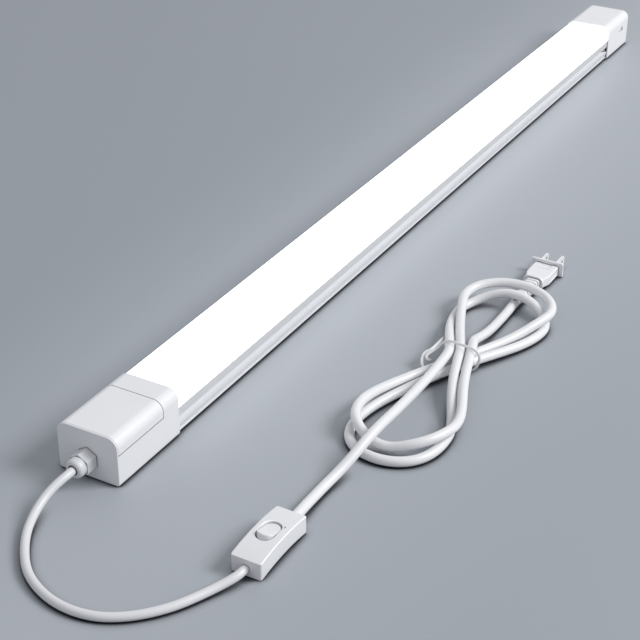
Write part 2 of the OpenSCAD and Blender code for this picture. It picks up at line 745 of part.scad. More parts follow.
module supply_leads() color([0.15, 0.15, 0.17]) placed() lead_pair([
  [1.2, inlet_end, gland_z], [1.2, inlet_end + 2, gland_z], [1.6, inlet_end + 5, gland_z - 1.6],
  [2.6, inlet_end + 8, lead_z + 2.4], [pole_x, block_s - 3, lead_z], [pole_x, block_s, lead_z],
  [pole_x, block_s + 3, lead_z]], 3);

module driver_leads() color([0.2, 0.2, 0.22]) placed() lead_pair([
  [pole_x, block_s + block_l - 3, lead_z], [pole_x, block_s + block_l + 2, lead_z],
  [4, bulkhead_s, lead_z], [4.4, driver_s - 6, driver_top + lead_r + 0.2],
  [4.4, driver_s + 1, driver_top + lead_r], [4.4, driver_s + 8, driver_top + lead_r]], 2);

module output_leads() color([0.7, 0.1, 0.1]) placed() {
  x = pole_gap / 4;
  z = driver_top + lead_r;
  end = driver_s + driver_l;
  lead_pair([[x, end - 8, z], [x, end - 2, z], [x, outlet_s - 5, z + 0.6], [x, outlet_s - 0.5, z + 3],
    [x, outlet_s, shelf_z - 1], [x, outlet_s + 0.8, board_top + 1.2],
    [x, connector_s - 1, board_top + 1.7], [x, connector_s + 2.5, board_top + 1.7]], 2);
}

// ---- The gland and the end of the cord in it ----

module gland_body() color(cap_white) placed() difference() {
  union() {
    translate([0, 0, gland_z]) rotate([90, 0, 0]) rotate([0, 0, 30])
      cylinder(r = hex_flats / 2 / cos(30), h = hex_l, $fn = 6);
    rod_y(0, -hex_l - sleeve_l, gland_z, sleeve_r, sleeve_l + 0.1);
    rod_y(0, -0.1, gland_z, shank_r, front_t + washer_t + locknut_t + 0.7);
  }
  rod_y(0, -gland_reach, gland_z, gland_bore, gland_reach + front_t + 8);
  rod_y(0, -hex_l - sleeve_l - past, gland_z, seal_pocket, pocket_l + past);
}

module gland_seal() color(seal_grey) placed() difference() {
  rod_y(0, -hex_l - sleeve_l, gland_z, seal_pocket - bore_gap, pocket_l);
  rod_y(0, -gland_reach - past, gland_z, lamp_cord_d / 2 + bore_gap, gland_reach);
}

// Domed nut, turned: a round shoulder over the sleeve with a clear hole for the cord
module gland_dome_nut() color(cap_white) placed()
  translate([0, -hex_l - 0.05, gland_z]) rotate([90, 0, 0]) rotate_extrude() {
    rim = dome_l * 0.42;
    bulge = dome_l - rim;
    inner = sleeve_r + bore_gap;
    cavity = sleeve_l + seat_gap;
    polygon(concat(
      [[inner, 0], [dome_r, 0]],
      [for (w = [0:9:81]) [dome_r - 1.9 * (1 - cos(w)), rim + (bulge - 0.05) * sin(w)]],
      [[gland_bore + 0.3, dome_l - 0.05], [gland_bore, dome_l - 0.4], [gland_bore, cavity], [inner, cavity]]));
  }

module gland_washer() color(screw_steel) placed() difference() {
  rod_y(0, front_t, gland_z, hex_flats / 2 + 0.4, washer_t);
  rod_y(0, front_t - past, gland_z, shank_r + bore_gap, washer_t + 2 * past);
}

module gland_locknut() color(screw_steel) placed() difference() {
  translate([0, front_t + washer_t + locknut_t, gland_z]) rotate([90, 0, 0]) rotate([0, 0, 30])
    cylinder(r = hex_flats / 2 / cos(30), h = locknut_t, $fn = 6);
  rod_y(0, front_t, gland_z, shank_r + bore_gap, locknut_t + 2 * past);
}

// The jacketed end of the cord, from the domed nut's mouth into the wiring space
module cord_inlet() color(cord_white) placed()
  rod_y(0, -gland_reach, gland_z, lamp_cord_d / 2, gland_reach + inlet_end);

module cord_to_switch() color(cord_white) placed() tube(lamp_line, lamp_cord_d / 2, 10);

// ---- The switch ----

bow_r = switch_l ^ 2 / 8 / switch_bow + switch_bow / 2;
rocker_x = switch_x - 0.8;
rocker_s = switch_s + 0.8;
well_gap = 0.5;
well_w = rocker_w + 2 * well_gap;
well_l = rocker_l + 1.2;
crown_z = switch_h + switch_bow;
pivot_z = crown_z - 3.2;
well_wall = 1;
switch_corner = 1.3;

module switch_plan(inset) translate([switch_x, switch_s])
  round_rect(switch_w - 2 * inset, switch_l - 2 * inset, max(switch_corner - inset, 0.4));

// What lies under an arch across the switch whose crown is at a height
module under_arch(crown) translate([switch_x - switch_w, switch_s, crown - bow_r])
  rotate([0, 90, 0]) cylinder(r = bow_r, h = 2 * switch_w, $fn = 240);

module arched_block(inset, low, high) difference() {
  intersection() {
    translate([0, 0, -past]) linear_extrude(crown_z + 2 * past) switch_plan(inset);
    under_arch(high);
  }
  under_arch(low);
}

module stadium(w, l) {
  square([w, l - w], center = true);
  for (end = [-1, 1]) translate([0, end * (l - w) / 2]) circle(w / 2);
}

// A solid with a stadium's plan round the rocker's middle, between two heights
module rocker_prism(w, l, low, high)
  translate([rocker_x, rocker_s, low]) linear_extrude(high - low) stadium(w, l);

module switch_housing() color(cap_white) placed() difference() {
  union() {
    difference() {
      arched_block(0, switch_bow, crown_z);
      arched_block(switch_wall, switch_bow - past, crown_z - switch_wall);
    }
    // Well round the rocker, and the short stub that the cord leaves by
    intersection() {
      rocker_prism(well_w + 2 * well_wall, well_l + 2 * well_wall, pivot_z - 2, crown_z);
      under_arch(crown_z - 0.3);
    }
    rod_y(135, switch_far - stub_l - 0.1, entry_z, plug_cord_d / 2 + 0.8, stub_l + 0.1);
    // Posts for the two base screws
    for (end = [-1, 1]) translate([switch_x, switch_s + end * (switch_l / 2 - 6), post_low])
      cylinder(r = 2.4, h = crown_z - switch_bow - post_low);
  }
  rocker_prism(well_w, well_l, pivot_z - 2 - past, crown_z + past);
  rod_x(switch_x - switch_w / 2 + switch_wall + 0.4, rocker_s, pivot_z, pivot_r + bore_gap,
    switch_w - 2 * switch_wall - 0.8);
  for (end = [-1, 1]) translate([switch_x, switch_s + end * (switch_l / 2 - 6), post_low - past])
    cylinder(r = 0.8, h = 5 + past);
  // Small dimple beside the rocker
  translate([rocker_x + 6.4, rocker_s + 6.9, crown_z - 0.7]) cylinder(r = 0.55, h = 2);
}

base_t = 1.6;
post_low = switch_bow + base_t - 0.2;

// Base plate, arched like the housing and let into it from below
module switch_base() color(cap_white) placed() difference() {
  arched_block(switch_wall + seat_gap, switch_bow, switch_bow + base_t);
  for (end = [-1, 1]) translate([switch_x, switch_s + end * (switch_l / 2 - 6), -past]) {
    cylinder(r = 1.1, h = 9);
    cylinder(r = 2, h = past + switch_bow + 0.2);
  }
}

module switch_screws() color(screw_steel) placed() for (end = [-1, 1])
  translate([switch_x, switch_s + end * (switch_l / 2 - 6), switch_bow + 0.2])
    pan_screw(1.7, 0.8, 0.75, 5);

// Rocker with a dished top, two pivot pins and ends turned about the pivot
module switch_rocker() color(cap_white) placed() translate([rocker_x, rocker_s, pivot_z])
  rotate([-rocker_throw / 2, 0, 0]) {
    difference() {
      intersection() {
        translate([0, 0, -2]) linear_extrude(7) stadium(rocker_w, rocker_l);
        rod_x(-rocker_w, 0, 0, rocker_l / 2 - 0.05, 2 * rocker_w, $fn = 96);
      }
      rod_x(-rocker_w, 0, 2.7 + dish_r, dish_r, 2 * rocker_w, $fn = 96);
    }
    rod_x(-well_w / 2 - well_wall + 0.1, 0, 0, pivot_r, well_w + 2 * well_wall - 0.2);
  }
dish_r = 26;

// Moving contact under the rocker
module switch_bridge() color(brass_yellow) placed() translate([rocker_x, rocker_s, pivot_z])
  rotate([-rocker_throw / 2, 0, 0]) {
    translate([-1.5, -5, -2.6]) cube([3, 10, 0.6]);
    for (end = [-1, 1]) translate([0, end * 4, -3.1]) cylinder(r = 1, h = 0.55);
  }

// Fixed contacts on the base, one under each end of the bridge
contact_top = pivot_z - 3.1 - 4.2 * sin(rocker_throw / 2) - 0.4;

module switch_contacts() color(brass_yellow) placed() for (end = [-1, 1])
  translate([rocker_x, rocker_s + end * 4.4, 0]) {
    base_z = switch_bow + base_t;
    translate([-3, end > 0 ? -1.5 : -5.5, base_z]) cube([6, 7, 0.6]);
    translate([-1.5, -1.2, base_z]) cube([3, 2.4, contact_top - base_z]);
  }

module cord_to_hank() color(cord_white) placed() tube(entry_line, plug_cord_d / 2, 10);

module cord_hank() color(cord_white) placed() tube(hank_line, plug_cord_d / 2, 6);

module cord_to_plug() color(cord_white) placed() tube(plug_line, plug_cord_d / 2, 10);

// Twist tie: round the waist, then two tails twisted and curled beside it
tie_low = tie_d / 2;
tie_route = [
  [124, 226, 8.4], [121.6, 222, 9.6], [121.4, 217, 8.4], [123.6, 213.6, 5.6], [126.6, 215.6, 3.4],
  [128.4, 220, 4], [130.4, 225, 8], [131.4, 228, 13.8], [133.6, 229.3, 18.8], [139.6, 230, 20.4],
  [147, 230.2, 19.2], [155.4, 230.2, 19], [160.6, 229.8, 16.2], [161.2, 229.4, 11],
  [158.8, 229, 4.4], [155, 229, tie_low], [147, 229, tie_low], [138.4, 229.4, tie_low],
  [132.8, 230.5, 3.4], [130, 233, 8.4], [128, 237, 10.6], [125.4, 244, 9.4], [122, 252, 6.4]];

module cord_tie() color("white") placed() tube(smooth(tie_route, 2), tie_d / 2, 6, [0.05, 0.95, -0.3]);

// ---- The plug ----

plug_z = face_h / 2;
body_z = body_h / 2 + 0.9;
tang_w = 5;          // width of the blades' roots in the body

// A slice of the plug or its relief: a round rectangle across the cord
module slice(s, w, h, z, thickness, round = 0.24)
  along(s, thickness) translate([plug_x, z]) round_rect(w, h, min(w, h) * round);

module plug_body() color(cap_white) placed() difference() {
  union() {
    hull() {
      slice(plug_s - body_l * 0.7, body_w, body_h, body_z, body_l * 0.7 - seat_gap / 2);
      slice(plug_s - body_l, body_w * 0.74, body_h - 0.6, body_z, 1);
    }
    slice(plug_s - body_l - collar_t, 16.2, 10.8, 5.5, collar_t + 0.1, 0.45);
    // Ribbed relief: a tapered core with a bead every few millimetres
    hull() {
      slice(relief_s - 0.5, 11.4, 8.6, relief_z + 0.1, 0.7);
      slice(relief_s - relief_l, 8.6, 8, relief_z, 0.6);
    }
    for (k = [0:rib_count - 1]) let (t = k / (rib_count - 1))
      slice(relief_s - 3.2 - t * (relief_l - 8), 13 - 2.8 * t, 9.3 - 0.6 * t, relief_z, 1.5);
  }
  // Blank recess on the top
  translate([plug_x - 4, plug_s - 9.5, body_z + body_h / 2 - 0.4]) cube([8, 8.5, 1]);
  for (side = [-1, 1])
    translate([plug_x + side * blade_gap / 2 - blade_t / 2 - bore_gap, plug_s - 6,
      body_z - tang_w / 2 - bore_gap])
      cube([blade_t + 2 * bore_gap, 7, tang_w + 2 * bore_gap]);
}
rib_count = 5;

// Thin plate across the plug's front, which the blades pass through
module plug_face() color(cap_white) placed() difference() {
  along(plug_s, face_t) translate([plug_x, plug_z]) round_rect(face_w, face_h, 1.2);
  blade_slot(-1, live_w);
  blade_slot(1, neutral_w);
}

module blade_slot(side, w)
  translate([plug_x + side * blade_gap / 2 - blade_t / 2 - bore_gap, plug_s - past,
    plug_z - w / 2 - bore_gap])
    cube([blade_t + 2 * bore_gap, face_t + 2 * past, w + 2 * bore_gap]);

// One flat blade with a tapered tip and a round hole
module blade(side, w)
  translate([plug_x + side * blade_gap / 2 - blade_t / 2, plug_s - 5.5, plug_z])
    rotate([90, 0, 90]) linear_extrude(blade_t) difference() {
      low = body_z - plug_z - tang_w / 2;
      polygon([[0, low], [5.5, low], [5.5, -w / 2], [reach_l - 2, -w / 2], [reach_l, 1 - w / 2],
        [reach_l, w / 2 - 1], [reach_l - 2, w / 2], [5.5, w / 2], [5.5, low + tang_w],
        [0, low + tang_w]]);
      translate([reach_l - 4.5, 0]) circle(1.55);
    }
reach_l = 5.5 + face_t + blade_l;

module plug_live_blade() color(brass_yellow) placed() blade(-1, live_w);

module plug_neutral_blade() color(brass_yellow) placed() blade(1, neutral_w);

housing_channel();
diffuser();
led_board();
led_chips();
board_connector();
driver_sleeve();
driver_board();
driver_transformer();
driver_capacitors();
driver_choke();
driver_chips();
near_end_cap();
wiring_cover();
near_gasket();
near_cap_screws();
far_end_cap();
far_gasket();
far_cap_screws();
terminal_block();
terminal_sleeves();
terminal_screws();
supply_leads();
driver_leads();
output_leads();
gland_body();
gland_seal();
gland_dome_nut();
gland_washer();
gland_locknut();
cord_inlet();
cord_to_switch();
switch_housing();
switch_base();
switch_rocker();
switch_bridge();
switch_contacts();
switch_screws();
cord_to_hank();
cord_hank();
cord_to_plug();
cord_tie();
plug_body();
plug_face();
plug_live_blade();
plug_neutral_blade();
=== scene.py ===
# %% [markdown]
# # A linear shop light, dressed for its picture
# The light is an aluminium channel with an opal cover and a moulded cap on each end. Its cord
# runs over the floor to a small rocker switch, and from there into a hank with a twist tie
# and a two-blade plug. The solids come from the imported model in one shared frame, in metres,
# so every piece made here goes where the solid it dresses already is.

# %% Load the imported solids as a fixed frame
import bmesh, bpy, json, math
from mathutils import Matrix, Vector


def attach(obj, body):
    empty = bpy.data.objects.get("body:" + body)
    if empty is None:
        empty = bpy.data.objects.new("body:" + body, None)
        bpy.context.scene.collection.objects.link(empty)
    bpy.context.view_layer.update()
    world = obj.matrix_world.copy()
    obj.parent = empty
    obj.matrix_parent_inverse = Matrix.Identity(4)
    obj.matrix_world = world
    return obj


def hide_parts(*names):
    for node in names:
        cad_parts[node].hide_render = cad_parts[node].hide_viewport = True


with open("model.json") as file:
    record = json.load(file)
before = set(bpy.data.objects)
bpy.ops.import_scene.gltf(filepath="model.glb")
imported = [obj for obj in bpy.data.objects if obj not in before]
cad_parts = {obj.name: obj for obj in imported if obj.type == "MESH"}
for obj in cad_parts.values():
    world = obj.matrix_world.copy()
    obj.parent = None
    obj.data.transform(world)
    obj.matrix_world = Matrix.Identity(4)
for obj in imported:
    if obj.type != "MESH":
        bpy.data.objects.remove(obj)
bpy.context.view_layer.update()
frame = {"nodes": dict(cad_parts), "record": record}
nodes = frame["nodes"]

# %% [markdown]
# ## The camera
# The camera was solved from the light's long straight edges: it looks down and along the light
# from beyond the gland's corner. A long lens keeps the far cap from shrinking away too much.
# It could be aimed with a constraint, but a fixed matrix stays the same in every render.

# %% Camera
def in_scene(name, data):
    obj = bpy.data.objects.new(name, data)
    bpy.context.scene.collection.objects.link(obj)
    return obj

camera = in_scene("camera", bpy.data.cameras.new("camera"))
camera.data.sensor_width = 36
camera.data.lens = 85.4994
aim = Matrix.Translation((0.5011, -1.04795, 0.5633))
for axis, degrees in (("Z", 29.376), ("X", 59.648), ("Z", 0.287)):
    aim = aim @ Matrix.Rotation(math.radians(degrees), 4, axis)
camera.matrix_world = aim
bpy.context.scene.camera = camera
print("camera:", camera.data.lens, "mm lens at", tuple(camera.location))

# %% [markdown]
# ## Places along the light
# The drawing of the light counts millimetres from the front face of the near cap. This turns
# such a place into the frame's metres, and back, which is all that the pieces below have to
# agree on.

# %% Millimetres from the front face become metres in the frame
FRONT = -449.35

def at(x, s, z):
    return Vector((x, s + FRONT, z)) / 1000

def drawn_at(point):
    return point.x * 1000, point.y * 1000 - FRONT, point.z * 1000

# %% [markdown]
# ## Two cords on one kind of curve
# A cord is flexible and has a fixed length, so its route is a smooth curve through listed points:
# straight out of the exit, down to the floor, then in easy bends that are never tighter than
# a few diameters. A Bezier curve with handles would do, but its bends are hard to keep even. A
# cubic B-spline rounds off its points by itself and leaves its ends straight.

# %% A smooth curve along points
LAMP_CORD = 5.6

def smooth(points, steps):
    p = [Vector(v) for v in points]
    p = [2 * p[0] - p[1]] + p + [2 * p[-1] - p[-2]]
    line = []
    for i in range(len(p) - 3):
        for k in range(steps):
            t = k / steps
            line.append(((1 - t) ** 3 * p[i] + (3 * t**3 - 6 * t**2 + 4) * p[i + 1]
                         + (3 * t**2 * (1 - t) + 3 * t + 1) * p[i + 2] + t**3 * p[i + 3]) / 6)
    return line + [Vector(points[-1])]

def run(line):
    return sum((b - a).length for a, b in zip(line, line[1:]))

lamp_route = [
    (0, -15.3, 14.25), (0, -18.3, 14.25), (0, -21.3, 14.25), (-1.5, -28.5, 12.8), (-3, -38, 9.6),
    (-2, -49, 6.2), (1.5, -61, 3.9), (7.5, -72, 2.9), (16, -83, 2.8), (25.5, -93, 2.8),
    (36.5, -100, 2.8), (48.5, -105, 2.8), (60.5, -107.5, 2.8), (72.5, -107.5, 2.8),
    (84, -105, 2.8), (93.5, -100, 2.8), (102, -93.5, 2.8), (109.5, -85.5, 2.8), (116.5, -76, 2.8),
    (122, -65, 2.8), (127, -54, 3), (131.8, -45, 4.4), (134.1, -39.5, 5.3), (134.5, -35.8, 5.4),
    (134.5, -32.3, 5.4)]
lamp_line = smooth(lamp_route, 5)
print("cord from the gland to the switch:", round(run(lamp_line)), "mm")

# %% [markdown]
# ## The hank
# Behind the switch the cord is wound in a figure of eight, twice round, and pinched at its waist.
# It could be dropped there by a simulation, but a rule draws the same shape every time: the loop's
# plan follows sines, the second turn rolls from beside the first at the waist to on top of it at
# the sides, and low humps lift one strand over another where they cross.

# %% The plan of one loop
PLUG_CORD, PITCH = 6.8, 7.6
LOOP_HALF_WIDTH, LOOP_HALF_LENGTH = 31, 114

def apart(a, b):
    return abs((a - b + 180) % 360 - 180)

def hump(a, centre, half):
    if apart(a, centre) >= half:
        return 0
    return math.cos(math.radians(90 * apart(a, centre) / half)) ** 2

def loop_at(a):
    s, c = math.sin(math.radians(a)), math.sin(math.radians(2 * a))
    return Vector((-LOOP_HALF_WIDTH * c - 6 * hump(a, 343, 24),
                   LOOP_HALF_LENGTH * s - 18 * s * s
                   + 4 * math.sin(math.radians(3 * a)) * (1 - s) / 2))

# %% Both turns of the figure of eight
HANK_X, HANK_S = 146.7, 230
FIRST_ANGLE, TURNED, STEPS = 8, 709, 93
OVER_TIE, OVER_STRAND, OVER_RELIEF = 2.1, 7.8, 8.8

def hank_point(angle):
    turn = 1 if angle > 360 else 0
    a = angle - 360 * turn
    wide = math.cos(math.radians(2 * a))
    lean = math.radians(97.5 + 82.5 * wide)
    step = turn * (PITCH + 3.6 * ((1 - wide) / 2) ** 2)
    side = PITCH * (1 - a / 360) * math.cos(math.radians(a)) ** 4 + step * math.cos(lean)
    d = (loop_at(a + 1) - loop_at(a - 1)).normalized()
    x, y = loop_at(a) + side * Vector((-d.y, d.x))
    z = (PLUG_CORD / 2 + OVER_TIE * (hump(a, 0, 30) + hump(a, 180, 30))
         + OVER_STRAND * hump(a, 0, 40) + OVER_RELIEF * hump(a, 90, 40) + step * math.sin(lean))
    return Vector((HANK_X + x, HANK_S + y, z))

def hank_points(count):
    return [hank_point(FIRST_ANGLE + TURNED * k / count) for k in range(count + 1)]

coarse, fine = hank_points(STEPS), hank_points(4 * STEPS)
lead_in = (coarse[1] - coarse[0]).normalized() * PLUG_CORD
lead_out = (coarse[-1] - coarse[-2]).normalized() * PLUG_CORD
print("hank:", round(run(fine)), "mm of cord in two turns")

# %% [markdown]
# ## From the switch to the plug in one piece
# The real cord is a single length, so it is drawn as one curve: over the near loops, twice
# round the hank, and down to the plug's strain relief.

# %% The plug's cord
entry_route = [
    (135, 22.5, 5.4), (135, 29.5, 5.4), (134.3, 37, 4.6), (133.8, 48, 3.6), (134, 60, 3.8),
    (135.5, 72, 5.2), (138, 84, 9), (140.3, 97, 14), (141.6, 110, 17), (141.8, 124, 16.6),
    (141.4, 142, 14.6), (141.2, 162, 13.4), (141, 182, 13), (140.8, 202, 13.2), (140, 216, 13.4),
    coarse[0] - 3 * lead_in, coarse[0] - 2 * lead_in, coarse[0] - lead_in]
plug_route = [
    coarse[-1] + lead_out, coarse[-1] + 2 * lead_out, coarse[-1] + 3 * lead_out,
    (146.6, 252, 11.6), (146.2, 262, 8.4), (146, 272, 5.6), (146, 284, 3.9), (146, 296, 3.5),
    (146, 310, 3.6), (146, 320, 4.2), (146, 324.6, 4.65), (146, 331.4, 4.75)]
plug_line = smooth(entry_route, 5) + fine + smooth(plug_route, 5)
print("cord from the switch to the plug:", round(run(plug_line)), "mm")

# %% [markdown]
# ## One bench for every node tree
# Materials and Geometry Nodes are both trees of nodes. The bench below adds any node from its
# type, its settings and its sockets. The wire wraps a socket, so that sums are written as sums
# and 1 - mask works as it does for numbers.

# %% Bench and wire
class Wire:
    def __init__(self, bench, socket):
        self.bench, self.socket = bench, socket

    def maths(self, operation, a, b=0.0):
        return self.bench.node("ShaderNodeMath", {"operation": operation}, {0: a, 1: b})

    def __add__(self, other): return self.maths("ADD", self, other)
    def __radd__(self, other): return self.maths("ADD", other, self)
    def __sub__(self, other): return self.maths("SUBTRACT", self, other)
    def __rsub__(self, other): return self.maths("SUBTRACT", other, self)
    def __mul__(self, other): return self.maths("MULTIPLY", self, other)
    def __rmul__(self, other): return self.maths("MULTIPLY", other, self)
    def __pow__(self, other): return self.maths("POWER", self, other)
    def __rpow__(self, other): return self.maths("POWER", other, self)
    def __lt__(self, other): return self.maths("LESS_THAN", self, other)
    def __gt__(self, other): return self.maths("GREATER_THAN", self, other)
    def __abs__(self): return self.maths("ABSOLUTE", self)

class Bench:
    def __init__(self, tree):
        self.tree = tree

    def node(self, kind, settings=None, sockets=None, out=0):
        made = self.tree.nodes.new(kind)
        for name, value in (settings or {}).items():
            setattr(made, name, value)
        for key, value in (sockets or {}).items():
            if isinstance(value, Wire):
                self.tree.links.new(value.socket, made.inputs[key])
            else:
                made.inputs[key].default_value = value
        return Wire(self, made.outputs[out])

# %% [markdown]
# ## Moulded plastic and cord jacket
# White mouldings are hardly ever one white: the mould leaves a fine grain, thick places look a
# touch greyer and hands leave the gloss uneven. Noise on the object's own coordinates gives all
# three at their real scale, in metres, so nothing stretches over the long light. An Ambient
# Occlusion node then paints shade into the colour of the last millimetre of each corner.

# %% A finish starts with its shader
def finish_of(name, colour, rough, metal=0.0, **more):
    material = bpy.data.materials.new(name)
    material.use_nodes = True
    shader = material.node_tree.nodes["Principled BSDF"]
    constants = {"Base Color": (*colour, 1), "Roughness": rough, "Metallic": metal, **more}
    for key, value in constants.items():
        shader.inputs[key].default_value = value
    return material, Bench(material.node_tree), shader

def feed(bench, shader, name, wire):
    bench.tree.links.new(wire.socket, shader.inputs[name])

def object_axis(bench, axis):
    place = bench.node("ShaderNodeTexCoord", out="Object")
    return bench.node("ShaderNodeSeparateXYZ", sockets={0: place}, out=axis)

def object_noise(bench, per_metre, detail=2.0, stretch=(1, 1, 1), seed=0.0):
    place = bench.node("ShaderNodeTexCoord", out="Object")
    turned = bench.node("ShaderNodeMapping", sockets={"Vector": place, "Scale": stretch})
    return bench.node("ShaderNodeTexNoise", {"noise_dimensions": "4D"},
                      {"Vector": turned, "W": seed, "Scale": per_metre, "Detail": detail})

# %% Colour, painted corner shade and grain
OCCLUSION_SAMPLES, PAINTED_SHADE_GAIN = 8, 1.9

def mix_colour(bench, share, a, b):
    a, b = (c if isinstance(c, Wire) else (*c, 1) for c in (a, b))
    return bench.node("ShaderNodeMix", {"data_type": "RGBA"}, {0: share, 6: a, 7: b}, out=2)

def grey(value):
    return (value, value, value)

def darker(colour, share):
    return tuple(c * share for c in colour)

# Painted shade: an Ambient Occlusion node darkens the colour where other surfaces are near, in
# corners, gaps and under parts.
def painted_occlusion_shade(bench, colour, reach_mm, dark):
    open_to_air = bench.node("ShaderNodeAmbientOcclusion", {"samples": OCCLUSION_SAMPLES},
                             {"Distance": reach_mm / 1000}, out="AO")
    return mix_colour(bench, ((1 - open_to_air) * PAINTED_SHADE_GAIN) ** 2, colour, dark)

def bumped(bench, shader, height, distance_mm):
    feed(bench, shader, "Normal", bench.node(
        "ShaderNodeBump", sockets={"Distance": distance_mm / 1000, "Height": height}))

def moulded(name, colour, rough, grain_mm, depth_mm, reach_mm=1.2):
    material, bench, shader = finish_of(name, colour, rough)
    broad = object_noise(bench, 28, 3)
    grain = object_noise(bench, 1000 / grain_mm, 1, seed=2.0)
    tone = mix_colour(bench, broad, darker(colour, 0.94), colour)
    # The plastic's corners and gaps get painted shade from the Ambient Occlusion node.
    feed(bench, shader, "Base Color", painted_occlusion_shade(bench, tone, reach_mm, grey(0.12)))
    feed(bench, shader, "Roughness", broad * 0.12 + grain * 0.08 + (rough - 0.1))
    bumped(bench, shader, grain, depth_mm)
    return material

# %% The plastics
WHITE = (0.80, 0.80, 0.815)
cap_plastic = moulded("cap plastic", WHITE, 0.42, 0.9, 0.012)
cord_plastic = moulded("cord jacket", (0.71, 0.71, 0.725), 0.36, 0.7, 0.01)
hank_plastic = moulded("plug cord jacket", (0.79, 0.79, 0.80), 0.36, 0.7, 0.01)
gland_plastic = moulded("gland plastic", (0.68, 0.685, 0.70), 0.4, 0.7, 0.01)
switch_plastic = moulded("switch plastic", (0.77, 0.77, 0.785), 0.3, 0.8, 0.006, 0.5)
plug_plastic = moulded("plug plastic", (0.80, 0.80, 0.82), 0.48, 0.7, 0.012)
# A near-white finish laid on bevel faces as a painted highlight.
painted_edge_highlight = moulded("painted edge highlight", (0.97, 0.97, 0.98), 0.3, 0.8, 0.004)
# A near-black finish laid on the walls of notches and holes as painted shade.
hole_shade = moulded("painted hole shade", (0.1, 0.1, 0.11), 0.6, 0.5, 0.004)
print("plastics:", [m.name for m in (cap_plastic, cord_plastic, switch_plastic, plug_plastic)])

# %% [markdown]
# ## Metals and the lit cover
# The channel comes out of its die with fine lines along it, and its flat upper band is painted a
# little darker as shade, its bowed band lighter as painted light. Noise stretched along the light
# draws the lines, and the height on the object parts the two bands. The opal cover is lit evenly
# from inside, so it is an emitter with hardly any pattern.

# %% Metals, the lit cover and the rest
def brushed(name, colour, rough, along, metal=1.0):
    material, bench, shader = finish_of(name, colour, rough, metal)
    lines = object_noise(bench, 9000, 2, stretch=along, seed=1.0)
    cloud = object_noise(bench, 14, 2, seed=4.0)
    tone = mix_colour(bench, lines * 0.6 + cloud * 0.4, darker(colour, 0.88), colour)
    # The metal's corners and hollows get painted shade from the Ambient Occlusion node.
    feed(bench, shader, "Base Color", painted_occlusion_shade(bench, tone, 1.4, grey(0.1)))
    feed(bench, shader, "Roughness", lines * 0.16 + (rough - 0.08))
    bumped(bench, shader, lines, 0.006)
    return material

FLAT_BAND_FROM = 0.0129
channel_metal, bench, shader = finish_of("channel aluminium", (0.84, 0.845, 0.855), 0.38, 0.4)
streaks = object_noise(bench, 700, 2, stretch=(1, 0.004, 1), seed=1.0)
# Painted light and shade: the bowed lower band is coloured lighter and the flat upper band darker,
# for how the light falls on each.
bowed_band_painted_light = mix_colour(bench, streaks, (0.78, 0.785, 0.80), (0.96, 0.965, 0.975))
flat_band_painted_shade = mix_colour(bench, streaks, (0.70, 0.70, 0.705), (0.76, 0.76, 0.765))
tone = mix_colour(bench, object_axis(bench, 2) > FLAT_BAND_FROM, bowed_band_painted_light, flat_band_painted_shade)
# Painted shade in the channel's corners and under the lip's overhang.
feed(bench, shader, "Base Color", painted_occlusion_shade(bench, tone, 1.2, grey(0.15)))
feed(bench, shader, "Roughness", streaks * 0.16 + 0.3)
blade_metal = brushed("blade metal", (0.93, 0.93, 0.92), 0.32, (1, 0.05, 1), 0.25)
screw_metal = brushed("screw steel", (0.60, 0.61, 0.63), 0.3, (1, 1, 1))
brass = brushed("contact brass", (0.72, 0.52, 0.22), 0.25, (1, 0.1, 1))
opal, bench, shader = finish_of("opal cover", grey(0.9), 0.4, **{"Emission Strength": 1.5})
feed(bench, shader, "Emission Color",
     mix_colour(bench, object_noise(bench, 6, 2), (0.97, 0.975, 1.0), grey(1.0)))

# %% Every solid gets the finish of its slot
DISPLAY_GAMMA = 2.2
finish_for = {
    "cap_plastic": cap_plastic, "channel_aluminium": channel_metal, "diffuser_opal": opal,
    "cord_jacket": cord_plastic, "tie_coat": moulded("tie coat", grey(0.8), 0.35, 0.5, 0.01),
    "switch_plastic": switch_plastic, "plug_plastic": plug_plastic, "screw_steel": screw_metal,
    "contact_brass": brass, "blade_metal": blade_metal}
for entry in frame["record"]["materials"]:
    slot = entry["slot"]
    if slot not in finish_for:
        colour = tuple(c ** DISPLAY_GAMMA for c in entry["base_color"])
        finish_for[slot] = moulded(slot.replace("_", " "), colour, 0.5, 0.6, 0.02)
slots = {part["node"]: part["material_slot"] for part in frame["record"]["subparts"]}
for name, node in nodes.items():
    node.data.materials.clear()
    node.data.materials.append(finish_for[slots[name]])
print("finishes:", len(finish_for))

# %% [markdown]
# ## Sweeping the cords
# A cord is its line with a circle carried along it. Blender's own curve bevel could show it, but
# Geometry Nodes also lets the thickness, the sides and the finish be inputs of one tree that
# all the cords share, and hands back a plain mesh. Every tree here starts and ends alike, so
# two helpers do that: the last one makes copies real and sets the finish.

# %% The start and the end of a tree
def tree_of(name, result, **inputs):
    tree = bpy.data.node_groups.new(name, "GeometryNodeTree")
    for socket, kind in inputs.items():
        tree.interface.new_socket(socket, in_out="INPUT", socket_type="NodeSocket" + kind)
    tree.interface.new_socket(result, in_out="OUTPUT", socket_type="NodeSocketGeometry")
    bench = Bench(tree)
    given = tree.nodes.new("NodeGroupInput")
    return bench, lambda name: Wire(bench, given.outputs[name])

def ended(bench, geometry, finish):
    plain = bench.node("GeometryNodeRealizeInstances", sockets={0: geometry})
    done = bench.node("GeometryNodeSetMaterial", sockets={0: plain, "Material": finish})
    bench.tree.links.new(done.socket, bench.tree.nodes.new("NodeGroupOutput").inputs[0])
    return bench.tree

